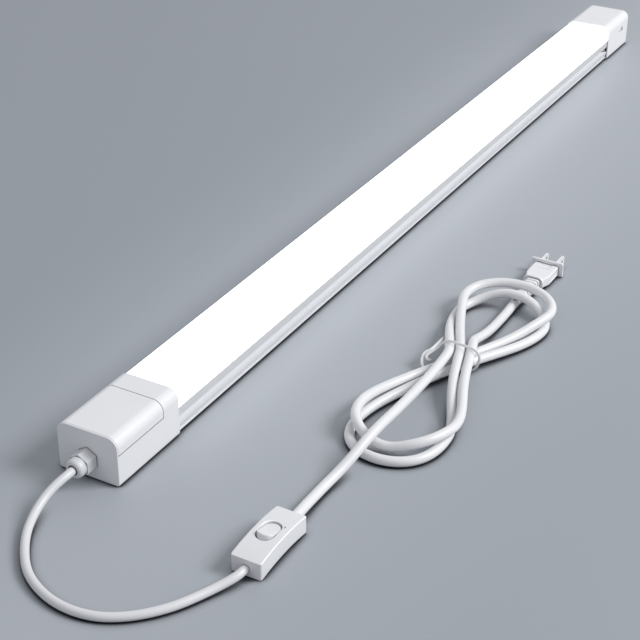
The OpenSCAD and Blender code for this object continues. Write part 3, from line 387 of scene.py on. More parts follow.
# %% A tree that carries a circle along a line
def sweep_tree():
    bench, wire = tree_of("sweep", "Tube", Line="Geometry", Radius="Float", Sides="Int",
                          Flat="Float", Finish="Material")
    line = bench.node("GeometryNodeMeshToCurve", sockets={0: wire("Line")})
    circle = bench.node("GeometryNodeCurvePrimitiveCircle",
                        sockets={"Resolution": wire("Sides"), "Radius": wire("Radius")})
    scale = bench.node("ShaderNodeCombineXYZ", sockets={0: 1.0, 1: wire("Flat"), 2: 1.0})
    circle = bench.node("GeometryNodeTransform", sockets={0: circle, "Scale": scale})
    tube = bench.node("GeometryNodeCurveToMesh",
                      sockets={"Curve": line, "Profile Curve": circle, "Fill Caps": True})
    return ended(bench, tube, wire("Finish"))

# %% Growing a mesh from a tree
def result_of(obj):
    bpy.context.view_layer.update()
    return bpy.data.meshes.new_from_object(
        obj.evaluated_get(bpy.context.evaluated_depsgraph_get()))

def grown(name, mesh, tree, **inputs):
    obj = in_scene(name, mesh)
    modifier = obj.modifiers.new("rule", "NODES")
    modifier.node_group = tree
    for item in tree.interface.items_tree:
        if item.in_out == "INPUT" and item.name in inputs:
            modifier[item.identifier] = inputs[item.name]
    plain = result_of(obj)
    obj.modifiers.remove(modifier)
    plain.materials.clear()
    plain.materials.append(inputs["Finish"])
    obj.data = plain
    return obj

def rounded(obj, angle=35):
    obj.data.shade_smooth()
    obj.data.set_sharp_from_angle(angle=math.radians(angle))
    return obj

sweep = sweep_tree()

def swept(name, line, radius_mm, sides, finish, flat=1.0):
    mesh = bpy.data.meshes.new(name)
    mesh.from_pydata([at(*p) for p in line], [(i, i + 1) for i in range(len(line) - 1)], [])
    obj = grown(name, mesh, sweep, Radius=radius_mm / 1000, Sides=sides, Flat=flat, Finish=finish)
    print(name, "has", len(obj.data.polygons), "faces over", round(run(line)), "mm")
    return rounded(obj, 50)

lamp_cord = swept("lamp_cord", lamp_line, LAMP_CORD / 2, 20, cord_plastic)
plug_cord = swept("plug_cord", plug_line, PLUG_CORD / 2, 20, hank_plastic)

# %% [markdown]
# ## The twist tie
# A wire in a flat plastic strip holds the waist. It goes once round all the strands, and its end
# is curled back beside them. The same tree sweeps it, with its ring made flat.

# %% Twist tie
tie_route = [
    (126.2, 213.2, 2), (125.4, 214.3, 3.5), (123.8, 215.7, 5), (122.6, 218, 7), (122.1, 222.3, 9.5),
    (123.8, 224.8, 10.5), (125.9, 226.9, 11), (126, 236.6, 11), (126.5, 245.3, 11.5),
    (127.4, 247.6, 10.6), (129, 244, 6.6), (132, 236, 2.6), (138.4, 229.4, 0.9), (147, 229, 0.9),
    (155, 229, 0.9), (158.8, 229, 4.4), (161.2, 229.4, 11), (160.6, 229.8, 16.2),
    (155.4, 230.2, 19), (147, 230.2, 19.2), (139.6, 230, 20.4), (133.6, 229.3, 18.8),
    (131.2, 229, 14.8), (129, 227.1, 12.5), (127, 224.2, 11), (125, 221.4, 9.8), (125, 219.4, 8.6),
    (126.4, 218.8, 7.4), (127.8, 220.4, 6.2), (128.2, 222.2, 4.6)]
twist_tie = swept("twist_tie", smooth(tie_route, 6), 1.0, 16, finish_for["tie_coat"], flat=0.42)

# %% [markdown]
# ## Easing the edges of a moulding
# A solid from the drawing has edges as sharp as a knife. Real mouldings never do, and the small
# radius catches a bright line of light. A copy of the solid's mesh gets its loose triangles
# joined and its flat faces made whole, and a bevel modifier rounds each edge that turns sharply.
# Weighted normals then keep the flats flat, so that only the rounding shades. Where an edge should
# show a bright line, the bevel's own faces get a second finish, a painted highlight.

# %% A dressed copy of a solid
def joined(node, flat=0.4):
    shape = bmesh.new()
    shape.from_mesh(nodes[node].data)
    bmesh.ops.remove_doubles(shape, verts=shape.verts, dist=1e-6)
    return made_whole(shape, flat)

def made_whole(shape, flat=0.1):
    bmesh.ops.dissolve_limit(shape, angle_limit=math.radians(flat), verts=shape.verts,
                             edges=shape.edges)
    return shape

def facing_out(shape):
    bmesh.ops.recalc_face_normals(shape, faces=shape.faces)
    return shape

def mesh_of(name, shape):
    if isinstance(shape, bpy.types.Mesh):
        return shape
    mesh = bpy.data.meshes.new(name)
    shape.to_mesh(mesh)
    shape.free()
    return mesh

def dressed(name, shape, slot, stands_for, body="light", finish=None):
    obj = in_scene(name, mesh_of(name, shape))
    obj.data.materials.append(finish or finish_for[slot])
    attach(obj, body)
    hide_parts(*stands_for)
    print(name, "stands for", ", ".join(stands_for), "with", len(obj.data.polygons), "faces")
    return obj

# %% Eased edges, and points moved by a rule
def flats_flat(obj):
    obj.modifiers.new("flats stay flat", "WEIGHTED_NORMAL").keep_sharp = True
    return obj

def ease(obj, width_mm, segments=2, turn=32, smooth=44, edge=None, bright=None, clamp=False):
    rounded(obj, smooth)
    bevel = obj.modifiers.new("eased edges", "BEVEL")
    bevel.width, bevel.segments = width_mm / 1000, segments
    bevel.limit_method, bevel.angle_limit = "ANGLE", math.radians(turn)
    bevel.use_clamp_overlap = clamp
    # The bevel's own faces take the edge finish, a painted highlight, and keep it only where bright
    # holds.
    if edge:
        obj.data.materials.append(edge)
        bevel.material = len(obj.data.materials) - 1
        obj.data = result_of(obj)
        obj.modifiers.clear()
        for face in obj.data.polygons:
            if face.material_index and bright and not bright(*drawn_at(face.center)):
                face.material_index = 0
    return flats_flat(obj)

def moved(shape, where, by):
    for v in shape.verts:
        if where(*drawn_at(v.co)):
            v.co += Vector(by) / 1000
    return shape

# %% [markdown]
# ## The end caps
# Both caps are cups of white plastic round the metal. The near one is a tray whose upper half
# lifts off, so its seam is a real gap: the cover stops a hair short of the tray. Their roundings
# are already in the solid, so a dressed copy keeps every lip and hole inside. The far cap's
# tongue reaches into the channel's notch, where hardly any light gets, so it is darkened there.

# %% Near cap and its cover
SEAM_Z, COVER_END = 22.4, 49.8
SEAM_GAP, END_GAP = 0.3, 0.2

def near_edges(x, s, z):
    return s < 0.5 or z < 0.5

def far_edges(x, s, z):
    return s > 913 or z < 0.5

# The front and bottom bevels of the near cap and cover take the painted highlight finish.
ease(dressed("near_cap", joined("near_end_cap"), "cap_plastic", ["near_end_cap"]), 0.14,
     edge=painted_edge_highlight, bright=near_edges, clamp=True)
cover = moved(joined("wiring_cover"), lambda x, s, z: z < SEAM_Z + 0.5, (0, 0, SEAM_GAP))
cover = moved(cover, lambda x, s, z: s > COVER_END - 0.5, (0, -END_GAP, 0))
ease(dressed("cover", cover, "cap_plastic", ["wiring_cover"], "cover"), 0.18, edge=painted_edge_highlight,
     bright=near_edges)

# %% The far cap and its tongue
TONGUE_HALF_WIDTH, TONGUE_END, TONGUE_TOP = 0.0195, 0.4085, 0.0195
far_plastic, bench, shader = finish_of("far cap plastic", WHITE, 0.42)
x, y, z = (object_axis(bench, k) for k in range(3))
# Painted shade: the tongue inside the notch is coloured near-black.
tongue_painted_shade = (abs(x) < TONGUE_HALF_WIDTH) * (y < TONGUE_END) * (z < TONGUE_TOP)
tone = mix_colour(bench, object_noise(bench, 28, 3), darker(WHITE, 0.94), WHITE)
tone = mix_colour(bench, tongue_painted_shade, tone, (0.015, 0.015, 0.017))
# The far cap's corners and gaps get painted shade from the Ambient Occlusion node.
feed(bench, shader, "Base Color", painted_occlusion_shade(bench, tone, 1.2, grey(0.12)))
# The far cap's end and bottom bevels take the painted highlight finish.
ease(dressed("far_cap", joined("far_end_cap"), "cap_plastic", ["far_end_cap"],
             finish=far_plastic), 0.16, edge=painted_edge_highlight, bright=far_edges, clamp=True)

# %% [markdown]
# ## The channel and the opal cover
# Both are pressed through a die in one go, so one section runs along the whole light. Geometry
# Nodes do the same: the loops of a drawn section are filled, stood upright and extruded. A
# loft of rings would do for the cover, but not for the channel, which is hollow. The section
# repeats the die: flange, bowed band, clip groove, flat band and lip, with the shelf inside.

# %% A tree that presses a section through its die
def press_tree():
    bench, wire = tree_of("press", "Bar", Loops="Geometry", Length="Float", From="Float",
                          Finish="Material")
    curves = bench.node("GeometryNodeMeshToCurve", sockets={0: wire("Loops")})
    face = bench.node("GeometryNodeFillCurve", sockets={0: curves})
    start = bench.node("ShaderNodeCombineXYZ", sockets={1: wire("From")})
    upright = bench.node("GeometryNodeTransform", sockets={
        0: face, "Translation": start, "Rotation": (math.radians(90), 0, 0)})
    way = bench.node("ShaderNodeCombineXYZ", sockets={1: wire("Length")})
    pushed = bench.node("GeometryNodeExtrudeMesh", {"mode": "FACES"}, {
        0: upright, "Offset": way, "Offset Scale": 1.0, "Individual": False})
    back = bench.node("GeometryNodeFlipFaces", sockets={0: upright})
    both = bench.node("GeometryNodeJoinGeometry", sockets={0: pushed})
    bench.tree.links.new(back.socket, both.socket.node.inputs[0])
    closed = bench.node("GeometryNodeMergeByDistance", sockets={0: both, "Distance": 1e-6})
    return ended(bench, closed, wire("Finish"))

press = press_tree()

# %% Sections and what is pressed from them
def arc(cx, cz, r, a, b, count):
    turns = [math.radians(a + (b - a) * k / count) for k in range(count + 1)]
    return [(cx + r * math.cos(turn), cz + r * math.sin(turn)) for turn in turns]

def mirrored(half):
    return half + [(-x, z) for x, z in reversed(half) if x > 0]

def loops_mesh(name, loops):
    points, edges = [], []
    for loop in loops:
        first = len(points)
        points += [(a / 1000, b / 1000, 0) for a, b in loop]
        edges += [(first + i, first + (i + 1) % len(loop)) for i in range(len(loop))]
    mesh = bpy.data.meshes.new(name)
    mesh.from_pydata(points, edges, [])
    return mesh

def pressed(name, loops, start_mm, length_mm, finish, place=None):
    obj = grown(name, loops_mesh(name, loops), press, Length=length_mm / 1000,
                From=start_mm / 1000, Finish=finish)
    if place:
        obj.data.transform(place)
    bar = bmesh.new()
    bar.from_mesh(obj.data)
    bpy.data.objects.remove(obj)
    return made_whole(facing_out(bar))

# %% The channel's section, pressed
SIDE, BASE, TOP, SHELF, BOSS = 21.8, 1.2, 19.5, 15.0, (13.6, 10.7)
BAR_FROM, BAR_LENGTH = 58.3, 805
bowed = [(SIDE - 0.9 + 0.9 * math.sin(math.pi * t / 20), 3.1 + 9.05 * t / 20) for t in range(21)]
foot = [(0, BASE), (SIDE - 0.6, BASE), (SIDE - 0.2, BASE + 0.4), (SIDE - 0.2, BASE + 1.3),
        (SIDE - 0.9, BASE + 1.5)]
lip = [(SIDE - 0.9, 12.85), (SIDE, 13.05), (SIDE, TOP), (SIDE - 2.1, TOP), (SIDE - 2.1, 18.3),
       (SIDE - 1.5, 18.3), (SIDE - 1.5, SHELF)]
rail = [(16.1, SHELF), (16.1, 17.1), (14, 17.1), (14, 16.15), (15.1, 16.15), (15.1, SHELF)]
screw_boss = (arc(*BOSS, 2.9, 69.8, -171.1, 20) + arc(*BOSS, 1.3, 200.3, 519.7, 16)
              + arc(*BOSS, 2.9, 171.1, 110.2, 6))
skin = mirrored(foot + bowed + lip + rail)
hollow = mirrored([(0, 2.6), (19.6, 2.6), (19.6, 13.6), (14.6, 13.6)] + screw_boss
                  + [(12.6, 13.6), (0, 13.6)])
bar = pressed("channel", [skin, hollow], BAR_FROM + FRONT, BAR_LENGTH, channel_metal)
channel = dressed("channel", bar, "channel_aluminium", ["housing_channel"])

# %% Cutting one shape from another
BOX_FACES = [(0, 1, 3, 2), (4, 6, 7, 5), (0, 4, 5, 1), (2, 3, 7, 6), (0, 2, 6, 4), (1, 5, 7, 3)]

def cut_from(obj, points, faces):
    tool = in_scene("tool", bpy.data.meshes.new("tool"))
    tool.data.from_pydata(points, [], faces)
    whole = bmesh.new()
    whole.from_mesh(tool.data)
    facing_out(whole).to_mesh(tool.data)
    whole.free()
    cut = obj.modifiers.new("cut", "BOOLEAN")
    cut.object, cut.operation, cut.solver = tool, "DIFFERENCE", "EXACT"
    plain = result_of(obj)
    print(obj.name, "cut:", len(obj.data.vertices), "points become", len(plain.vertices))
    obj.modifiers.remove(cut)
    obj.data = plain
    bpy.data.objects.remove(tool)

def cut_box(obj, low, high):
    xs, ys, zs = zip(low, high)
    cut_from(obj, [(x, y, z) for x in xs for y in ys for z in zs], BOX_FACES)

# %% The notch on each side, with painted shade on its walls
NOTCH = ((837.9, 12.5), (856.5, 12.9), (856.5, 8.1))
NOTCH_FACES = [(0, 2, 1), (3, 4, 5), (0, 1, 4, 3), (1, 2, 5, 4), (2, 0, 3, 5)]
for side in (-1, 1):
    notch = [at(side * x, s, z) for x in (18.6, 23) for s, z in NOTCH]
    cut_from(channel, notch, NOTCH_FACES if side > 0 else [f[::-1] for f in NOTCH_FACES])
# The notch's walls take the painted shade finish.
channel.data.materials.append(hole_shade)
for face in channel.data.polygons:
    _, s, z = drawn_at(face.center)
    if 837 < s < 857 and 7 < z < 13.5 and abs(face.normal.x) < 0.5:
        face.material_index = 1
print("notch walls:", sum(face.material_index for face in channel.data.polygons))
ease(channel, 0.1, smooth=30)

# %% The opal cover's section, pressed
snap = [(SIDE, 19.6), (19.6, 19.6), (19.6, 18.1), (20.2, 18.1), (20.2, 17.5), (19.6, 16.5),
        (18.4, 16.5), (18.4, 21), (20.4, 21)]
dome = mirrored([(0, 33.5)] + arc(15.5, 27.2, 6.3, 90, 0, 14) + snap
                + arc(15.5, 27.2, 4.9, 0, 90, 12) + [(0, 32.1)])
lens = pressed("opal_cover", [dome], BAR_FROM + FRONT, BAR_LENGTH, opal)
rounded(dressed("opal_cover", lens, "diffuser_opal", ["diffuser"]), 30)

# %% [markdown]
# ## The cable gland
# A plastic gland is a hexagon to hold with a spanner and a domed nut that squeezes a seal on
# the cord. The dome is turned and the hexagon has flats, and the bevel modifier eases both.

# %% Gland
ease(dressed("gland_hex", joined("gland_body"), "cap_plastic", ["gland_body"],
             finish=gland_plastic), 0.3)
ease(dressed("gland_dome", joined("gland_dome_nut", 0.2), "cap_plastic", ["gland_dome_nut"],
             finish=gland_plastic), 0.15)

# %% [markdown]
# ## The switch
# The housing is an arched block with a stadium-shaped well, and its eased edges catch the light
# and carry a painted highlight all round. It is a skin of matching outlines: each runs round the
# whole switch, and the skin goes from one to the next, over the top's edge, down the side, in
# under the belly, up inside and back over the well's rim. Cutting a well from a block would
# leave edges that no bevel rounds cleanly.

# %% The switch's arch and its outlines
SWITCH_X, SWITCH_S, ARCH_R, CROWN, BELLY = 134.8, -6.4, 147.0, 14.3, 2.3
ROCKER_X, ROCKER_S, PIVOT_Z = 134.0, -5.6, 11.1
BLOCK_WIDTH, BLOCK_LENGTH, BLOCK_CORNER = 20.5, 51.8, 1.3
WELL_WIDTH, WELL_LENGTH, WELL_FLOOR = 11.6, 19.6, 9.1

def arch(s, crown):
    return crown - ARCH_R + math.sqrt(ARCH_R**2 - (s - SWITCH_S) ** 2)

def toward(a, b, share):
    return (a[0] + (b[0] - a[0]) * share, a[1] + (b[1] - a[1]) * share)

def block_outline(inset):
    r = max(BLOCK_CORNER - inset, 0.3)
    x, y = BLOCK_WIDTH / 2 - inset - r, BLOCK_LENGTH / 2 - inset - r
    arcs = [arc(x, y, r, 0, 90, 4), arc(-x, y, r, 90, 180, 4),
            arc(-x, -y, r, 180, 270, 4), arc(x, -y, r, 270, 360, 4)]
    points = []
    for k, corner in enumerate(arcs):
        steps, after = (14, 36)[k % 2], arcs[(k + 1) % 4][0]
        points += corner + [toward(corner[-1], after, i / steps) for i in range(1, steps)]
    return [(SWITCH_X + x, SWITCH_S + y) for x, y in points]

WAYS = [math.atan2(s - ROCKER_S, x - ROCKER_X) for x, s in block_outline(0)]

def well_outline(out):
    r, straight = WELL_WIDTH / 2 + out, (WELL_LENGTH - WELL_WIDTH) / 2
    points = []
    for way in WAYS:
        c, d = math.cos(way), math.sin(way)
        reach = r / max(abs(c), 1e-9)
        if abs(reach * d) > straight:
            reach = straight * abs(d) + math.sqrt(r * r - (straight * c) ** 2)
        points.append((ROCKER_X + reach * c, ROCKER_S + reach * d))
    return points

def lifted(outline, height):
    return [at(x, s, height(s)) for x, s in outline]

# %% A skin over rings: round again to the first one, or closed at both ends
def skinned(rings, hollow=False, bright=()):
    shape = bmesh.new()
    rows = [[shape.verts.new(p) for p in ring] for ring in rings]
    for level, (a, b) in enumerate(zip(rows, rows[1:] + rows[:hollow])):
        for i in range(len(a)):
            j = (i + 1) % len(a)
            face = shape.faces.new((a[i], a[j], b[j], b[i]))
            face.material_index = int(level in bright)
    if not hollow:
        shape.faces.new(rows[0][::-1])
        shape.faces.new(rows[-1])
    return facing_out(shape)

# %% Housing
top = lambda drop: lambda s: arch(s, CROWN) - drop
belly = lambda up: lambda s: arch(s, BELLY) + up
well_floor = lambda s: WELL_FLOOR
rim_out, rim_in = block_outline(0.5), well_outline(0.55)
block_rings = [(0.15, top(0.14)), (0, top(0.5)), (0, belly(0.3)), (0.3, belly(0)), (1.6, belly(0)),
               (1.6, top(1.6))]
well_rings = [(1, top(1.6)), (1, well_floor), (0, well_floor), (0, top(0.5)), (0.16, top(0.15))]
rings = [lifted(rim_out, top(0))]
rings += [lifted(block_outline(inset), height) for inset, height in block_rings]
rings += [lifted(well_outline(out), height) for out, height in well_rings]
rings += [lifted([toward(a, b, share) for a, b in zip(rim_in, rim_out)], top(0))
          for share in (0, 0.25, 0.5, 0.75)]
# Rings 0, 1, 10 and 11, round the top's edge and the well's rim, take the second finish, a painted
# highlight.
housing = skinned(rings, hollow=True, bright=(0, 1, 10, 11))

# %% Turned pieces, and pieces put in their place
def turned(profile, sides=20):
    shape = bmesh.new()
    ways = [2 * math.pi * k / sides for k in range(sides)]
    rows = [[shape.verts.new((r * math.cos(way) / 1000, r * math.sin(way) / 1000, z / 1000))
             for way in (ways if r else ways[:1])] for r, z in profile]
    closed = profile[0][0] > 0
    for a, b in zip(rows, rows[1:] + rows[:closed]):
        for k in range(sides):
            j = (k + 1) % sides
            corners = [a[k % len(a)], a[j % len(a)], b[j % len(b)], b[k % len(b)]]
            shape.faces.new(dict.fromkeys(corners))
    return facing_out(shape)

def placed(shape, place, turn=0.0, axis="X"):
    shape.transform(Matrix.Translation(place) @ Matrix.Rotation(math.radians(turn), 4, axis))
    return shape

def together(name, shapes):
    whole = bmesh.new()
    for shape in shapes:
        mesh = mesh_of(name, shape)
        whole.from_mesh(mesh)
        bpy.data.meshes.remove(mesh)
    return whole

# %% Screw posts, the cord's stub and the pit beside the rocker
POST_REACH = 19.9
PIT_X, PIT_S, PIT_HALF_WIDTH, PIT_HALF_LENGTH, PIT_POINTS = 140.6, 1.3, 0.5, 1.1, 12
post = [(0.8, 3.7), (2.4, 3.7), (2.4, 12), (0.8, 12)]
posts = [placed(turned(post), at(SWITCH_X, SWITCH_S + end * POST_REACH, 0)) for end in (-1, 1)]
stub = placed(turned([(0, -0.5), (4.1, -0.5), (4.1, 2.3), (3.95, 2.75), (3.6, 3), (3.3, 3),
                      (3.2, 2.4), (0, 2.4)], 32), at(135, 19.5, 5.4), -90)
switch_shell = dressed("switch_shell", together("switch_shell", [housing, *posts, stub]),
                       "switch_plastic", ["switch_housing"])
# The second finish is the painted highlight on the switch's rims.
switch_shell.data.materials.append(painted_edge_highlight)
pit = [2 * math.pi * t / PIT_POINTS for t in range(PIT_POINTS)]
pit_faces = [(k, (k + 1) % PIT_POINTS, (k + 1) % PIT_POINTS + PIT_POINTS, k + PIT_POINTS)
             for k in range(PIT_POINTS)]
cut_from(switch_shell,
         [at(PIT_X + PIT_HALF_WIDTH * math.cos(t), PIT_S + PIT_HALF_LENGTH * math.sin(t), z)
          for z in (13.2, 15) for t in pit],
         [tuple(range(PIT_POINTS)), tuple(range(PIT_POINTS, 2 * PIT_POINTS)), *pit_faces])
flats_flat(rounded(switch_shell, 50))
ease(dressed("switch_floor", joined("switch_base"), "switch_plastic", ["switch_base"]), 0.15)

# %% [markdown]
# ## The rocker
# The rocker turns about a pin under its middle, so its ends follow a circle round that pin. Its
# top is dished for a fingertip: high at the near end, which is out at rest, and falling in a
# hollow curve to the far end. Those two rules give every point of its rings.

# %% Rocker
END_R, STRAIGHT, SWING_R, RING_POINTS = 5.3, 3.9, 9.15, 64

def dish(along):
    return 12.8 + 3.9 * (1 - min(1, max(0, (along + 7.4) / 16.3))) ** 1.6

def rocker_ring(inset, height, share=1.0):
    points = []
    for k in range(RING_POINTS):
        turn = 2 * math.pi * k / RING_POINTS
        x = (END_R - inset) * math.cos(turn) * share
        half = STRAIGHT if math.sin(turn) >= 0 else -STRAIGHT
        along = ((END_R - inset) * math.sin(turn) + half) * share
        z = height(dish(along))
        for _ in range(3):
            limit = math.sqrt(SWING_R**2 - (z - PIVOT_Z) ** 2) / (END_R + STRAIGHT)
            z = height(dish(along * min(1, limit)))
        points.append(at(ROCKER_X + x, ROCKER_S + along * min(1, limit), z))
    return points

levels = [(0, lambda z: 9.4), (0, lambda z: 11.2), (0, lambda z: z - 0.9), (0, lambda z: z - 0.5),
          (0.12, lambda z: z - 0.16)]
levels += [(0.5, lambda z: z, share) for share in (1.0, 0.85, 0.7, 0.5, 0.3, 0.1)]
rocker = skinned([rocker_ring(*level) for level in levels])
pins = placed(turned([(0, -6.7), (0.9, -6.7), (1, -6.5), (1, 6.5), (0.9, 6.7), (0, 6.7)]),
              at(ROCKER_X, ROCKER_S, PIVOT_Z), 90, "Y")
flats_flat(rounded(dressed("rocker_cap", together("rocker_cap", [rocker, pins]),
                           "switch_plastic", ["switch_rocker"], "rocker"), 50))

# %% [markdown]
# ## The plug
# The plug is moulded round the cord's end: a thin plate, a body that narrows behind it, a round
# collar and a ribbed strain relief. It is a loft: rounded rectangles stand one behind another
# across the cord, and quads join them. The relief's ribs are one ring, repeated by Geometry Nodes
# and made smaller with each step, which keeps their distance even.

# %% Rings across the cord
PLUG_X, PLUG_S = 146, 389

def ring(s, width, low, high, corner, sides=4):
    points = []
    for cx, cz, start in ((1, 1, 0), (-1, 1, 90), (-1, -1, 180), (1, -1, 270)):
        x, z = cx * (width / 2 - corner), (high if cz > 0 else low) - cz * corner
        points += [at(PLUG_X + px, s, pz) for px, pz in arc(x, z, corner, start, start + 90, sides)]
    return points

# %% A tree that repeats a piece in a row
def row_tree():
    bench, wire = tree_of("row", "Row", Points="Geometry", Piece="Object", Count="Int",
                          First="Vector", Step="Vector", Shrink="Float", Finish="Material")
    line = bench.node("GeometryNodeMeshLine", {"mode": "OFFSET"}, {
        "Count": wire("Count"), "Start Location": wire("First"), "Offset": wire("Step")})
    piece = bench.node("GeometryNodeObjectInfo", sockets={0: wire("Piece")}, out="Geometry")
    size = 1 - bench.node("GeometryNodeInputIndex") * wire("Shrink")
    across = bench.node("ShaderNodeCombineXYZ", sockets={0: size, 1: 1.0, 2: size})
    copies = bench.node("GeometryNodeInstanceOnPoints", sockets={
        0: line, "Instance": piece, "Scale": across})
    return ended(bench, copies, wire("Finish"))

row = row_tree()

def in_rows(name, shape, runs, finish, shrink=0.0):
    pattern = in_scene("pattern", mesh_of("pattern", shape))
    made = []
    for first, step, count in runs:
        obj = grown(name, bpy.data.meshes.new(name), row, Piece=pattern, Count=count,
                    First=first, Step=step, Shrink=shrink, Finish=finish)
        made.append(obj.data)
        bpy.data.objects.remove(obj)
    bpy.data.objects.remove(pattern)
    return together(name, made)

# %% Body and collar
body = skinned([ring(PLUG_S - 0.05, 19, 0.7, 8.7, 1.1), ring(371.6, 19, 0.7, 8.7, 1.1),
                ring(363.2, 13.8, 1, 8.6, 1.1)])
plug_shell = dressed("plug_shell", body, "plug_plastic", ["plug_body"])
cut_box(plug_shell, at(PLUG_X - 4.3, 380.6, 8.4), at(PLUG_X + 4.3, 390, 9))
cut_box(plug_shell, at(PLUG_X + 9.2, 373, 2.6), at(PLUG_X + 10, 386, 6.6))
# The plug's side edges take the painted highlight finish.
ease(plug_shell, 0.25, turn=25, smooth=40, edge=painted_edge_highlight,
     bright=lambda x, s, z: abs(x - PLUG_X) > 8.5)
collar = skinned([ring(363.6, 15.6, 0.3, 10.5, 4.6, 8), ring(363.2, 16.2, 0.1, 10.9, 4.9, 8),
                  ring(361.7, 16.2, 0.1, 10.9, 4.9, 8), ring(361.4, 15.6, 0.3, 10.6, 4.6, 8)])
# The collar's bevels take the painted highlight finish.
ease(dressed("plug_collar", collar, "plug_plastic", ["plug_body"]), 0.2, turn=35, smooth=40,
     edge=painted_edge_highlight)

# %% Ribbed relief and the plate
RIB_S, RIB_Z, RIB_STEP, RIBS, RIB_SHRINK = 359.6, 4.9, 0.0034, 8, 0.033
core = skinned([ring(362, 10.2, 1, 8.9, 2.2), ring(331.4, 7.8, 1.1, 8.4, 3.2)])
rib = skinned([[p - at(PLUG_X, 0, RIB_Z) + Vector((0, y, 0))
                for p in ring(0, w, 0.6 + d, 9.3 - d, 2.4 - d)]
               for w, d, y in ((10.9, 0.25, -0.0011), (11.4, 0, -0.0008), (11.4, 0, 0.0008),
                               (10.9, 0.25, 0.0011))])
ribs = in_rows("ribs", rib, [(tuple(at(PLUG_X, RIB_S, RIB_Z)), (0, -RIB_STEP, 0), RIBS)],
               plug_plastic, RIB_SHRINK)
rounded(dressed("relief", together("relief", [core, ribs]), "plug_plastic", ["plug_body"]), 35)
# The plate's bevels take the painted highlight finish.
ease(dressed("plug_plate", joined("plug_face"), "plug_plastic", ["plug_face"]), 0.35,
     edge=painted_edge_highlight)

# %% [markdown]
# ## The blades
# Each blade is a flat strip of plated metal with a taper at the tip and two holes, the larger
# one for the socket's catch. The outline and holes are filled and extruded in the same press as
# the channel, only sideways, so one tree serves both.

# %% Blades
BLADE_ROOT, BLADE_TIP, BLADE_THICK, BLADE_Z = 5.5, 24.1, 1.5, 5.75
HOLES = ((BLADE_TIP - 11, 1.7, 24), (BLADE_TIP - 4.5, 1.1, 18))

def hole_edge(place, r, count):
    return arc(place, 0, r, 0, 360 * (count - 1) / count, count - 1)

def blade(name, x, width, node):
    half, root, tip = width / 2, BLADE_ROOT, BLADE_TIP
    edge = [(0, -3.25), (root, -3.25), (root, -half), (tip - 2.4, -half),
            (tip - 0.6, 0.9 - half), (tip, 1.9 - half), (tip, half - 1.9),
            (tip - 0.6, half - 0.9), (tip - 2.4, half), (root, half), (root, 1.75), (0, 1.75)]
    place = (Matrix.Translation(at(x - BLADE_THICK / 2, PLUG_S - root, BLADE_Z))
             @ Matrix.Rotation(math.radians(90), 4, "Z") @ Matrix.Scale(-1, 4, (0, 1, 0)))
    shape = pressed(name, [edge, *(hole_edge(*hole) for hole in HOLES)], 0, BLADE_THICK,
                    blade_metal, place)
    made = dressed(name, shape, "blade_metal", [node])
    # The walls of the blade's holes take the painted shade finish.
    made.data.materials.append(hole_shade)
    for face in made.data.polygons:
        _, s, z = drawn_at(face.center)
        along, up = s - PLUG_S + root, z - BLADE_Z
        near_a_hole = any(math.hypot(along - place, up) < r + 0.1 for place, r, _ in HOLES)
        if abs(face.normal.x) < 0.5 and near_a_hole:
            face.material_index = 1
    return ease(made, 0.1, 1, smooth=30, turn=60)

blade("live_blade", 139.65, 6.35, "plug_live_blade")
blade("neutral_blade", 152.35, 7.94, "plug_neutral_blade")

# %% [markdown]
# ## Screws
# Every screw here is a small pan-head with a cross recess, and they differ only in size and
# heading. A profile is turned round the screw's axis, the thread is a few ridges in that profile,
# and the cross is cut out of the head. The row tree then sets each pair in place.

# %% One screw, then every place that has one
def screw(head_r, head_h, shank, length, heading):
    dome = [(head_r * math.sin(math.radians(a)) * 0.94,
             -head_h * (0.35 + 0.65 * math.cos(math.radians(a)))) for a in range(0, 91, 15)]
    thread = [(shank - 0.18 * (k % 2), 0.02 + (length - 0.5) * k / 24) for k in range(25)]
    rim, end = [(head_r, -head_h * 0.25), (head_r, 0)], [(shank * 0.55, length), (0, length)]
    body = in_scene("screw", mesh_of("screw", turned(dome + rim + thread + end)))
    wide, long = head_r * 0.16 / 1000, head_r * 0.62 / 1000
    for w, l in ((wide, long), (long, wide)):
        cut_box(body, (-w, -l, -1.5 * head_h / 1000), (w, l, -0.5 * head_h / 1000))
    body.data.transform(Vector((0, 0, 1)).rotation_difference(Vector(heading)).to_matrix().to_4x4())
    mesh = body.data
    bpy.data.objects.remove(body)
    return mesh

def screws(name, node, groups):
    shapes = [in_rows(name, screw(*size), [(tuple(at(*first)), tuple(Vector(step) / 1000), count)],
                      screw_metal) for size, first, step, count in groups]
    return rounded(dressed(name, together(name, shapes), "screw_steel", [node]), 40)

# %% Head, shank and length of each kind, then its heading, place and step
bulkhead, side_screw = (2.6, 1.9, 1.25, 11.5), (1.6, 1.1, 0.95, 1.35)
terminal, base_screw = (1.5, 1, 1, 2.4), (1.7, 0.8, 0.75, 5)
screws("bulkhead_screws", "near_cap_screws",
       [((*bulkhead, (0, 1, 0)), (-13.6, 54.8, 10.7), (27.2, 0, 0), 2)])
screws("side_screws", "far_cap_screws",
       [((*side_screw, (-side, 0, 0)), (side * 17.9, 849.5, 10.7), (1, 0, 0), 1)
        for side in (-1, 1)])
screws("clamp_screws", "terminal_screws",
       [((*terminal, (0, 0, -1)), (x, 32, 10.6), (0, 8, 0), 2) for x in (-3.5, 3.5)])
screws("base_screws", "switch_screws",
       [((*base_screw, (0, 0, 1)), (134.8, -26.3, 2.5), (0, 39.8, 0), 2)])

# %% [markdown]
# ## The wires inside
# Short wires join the cord to the terminal block, the block to the driver and the driver to the
# board. They show when the cover is off, and they are cords too, so the same tree sweeps them.

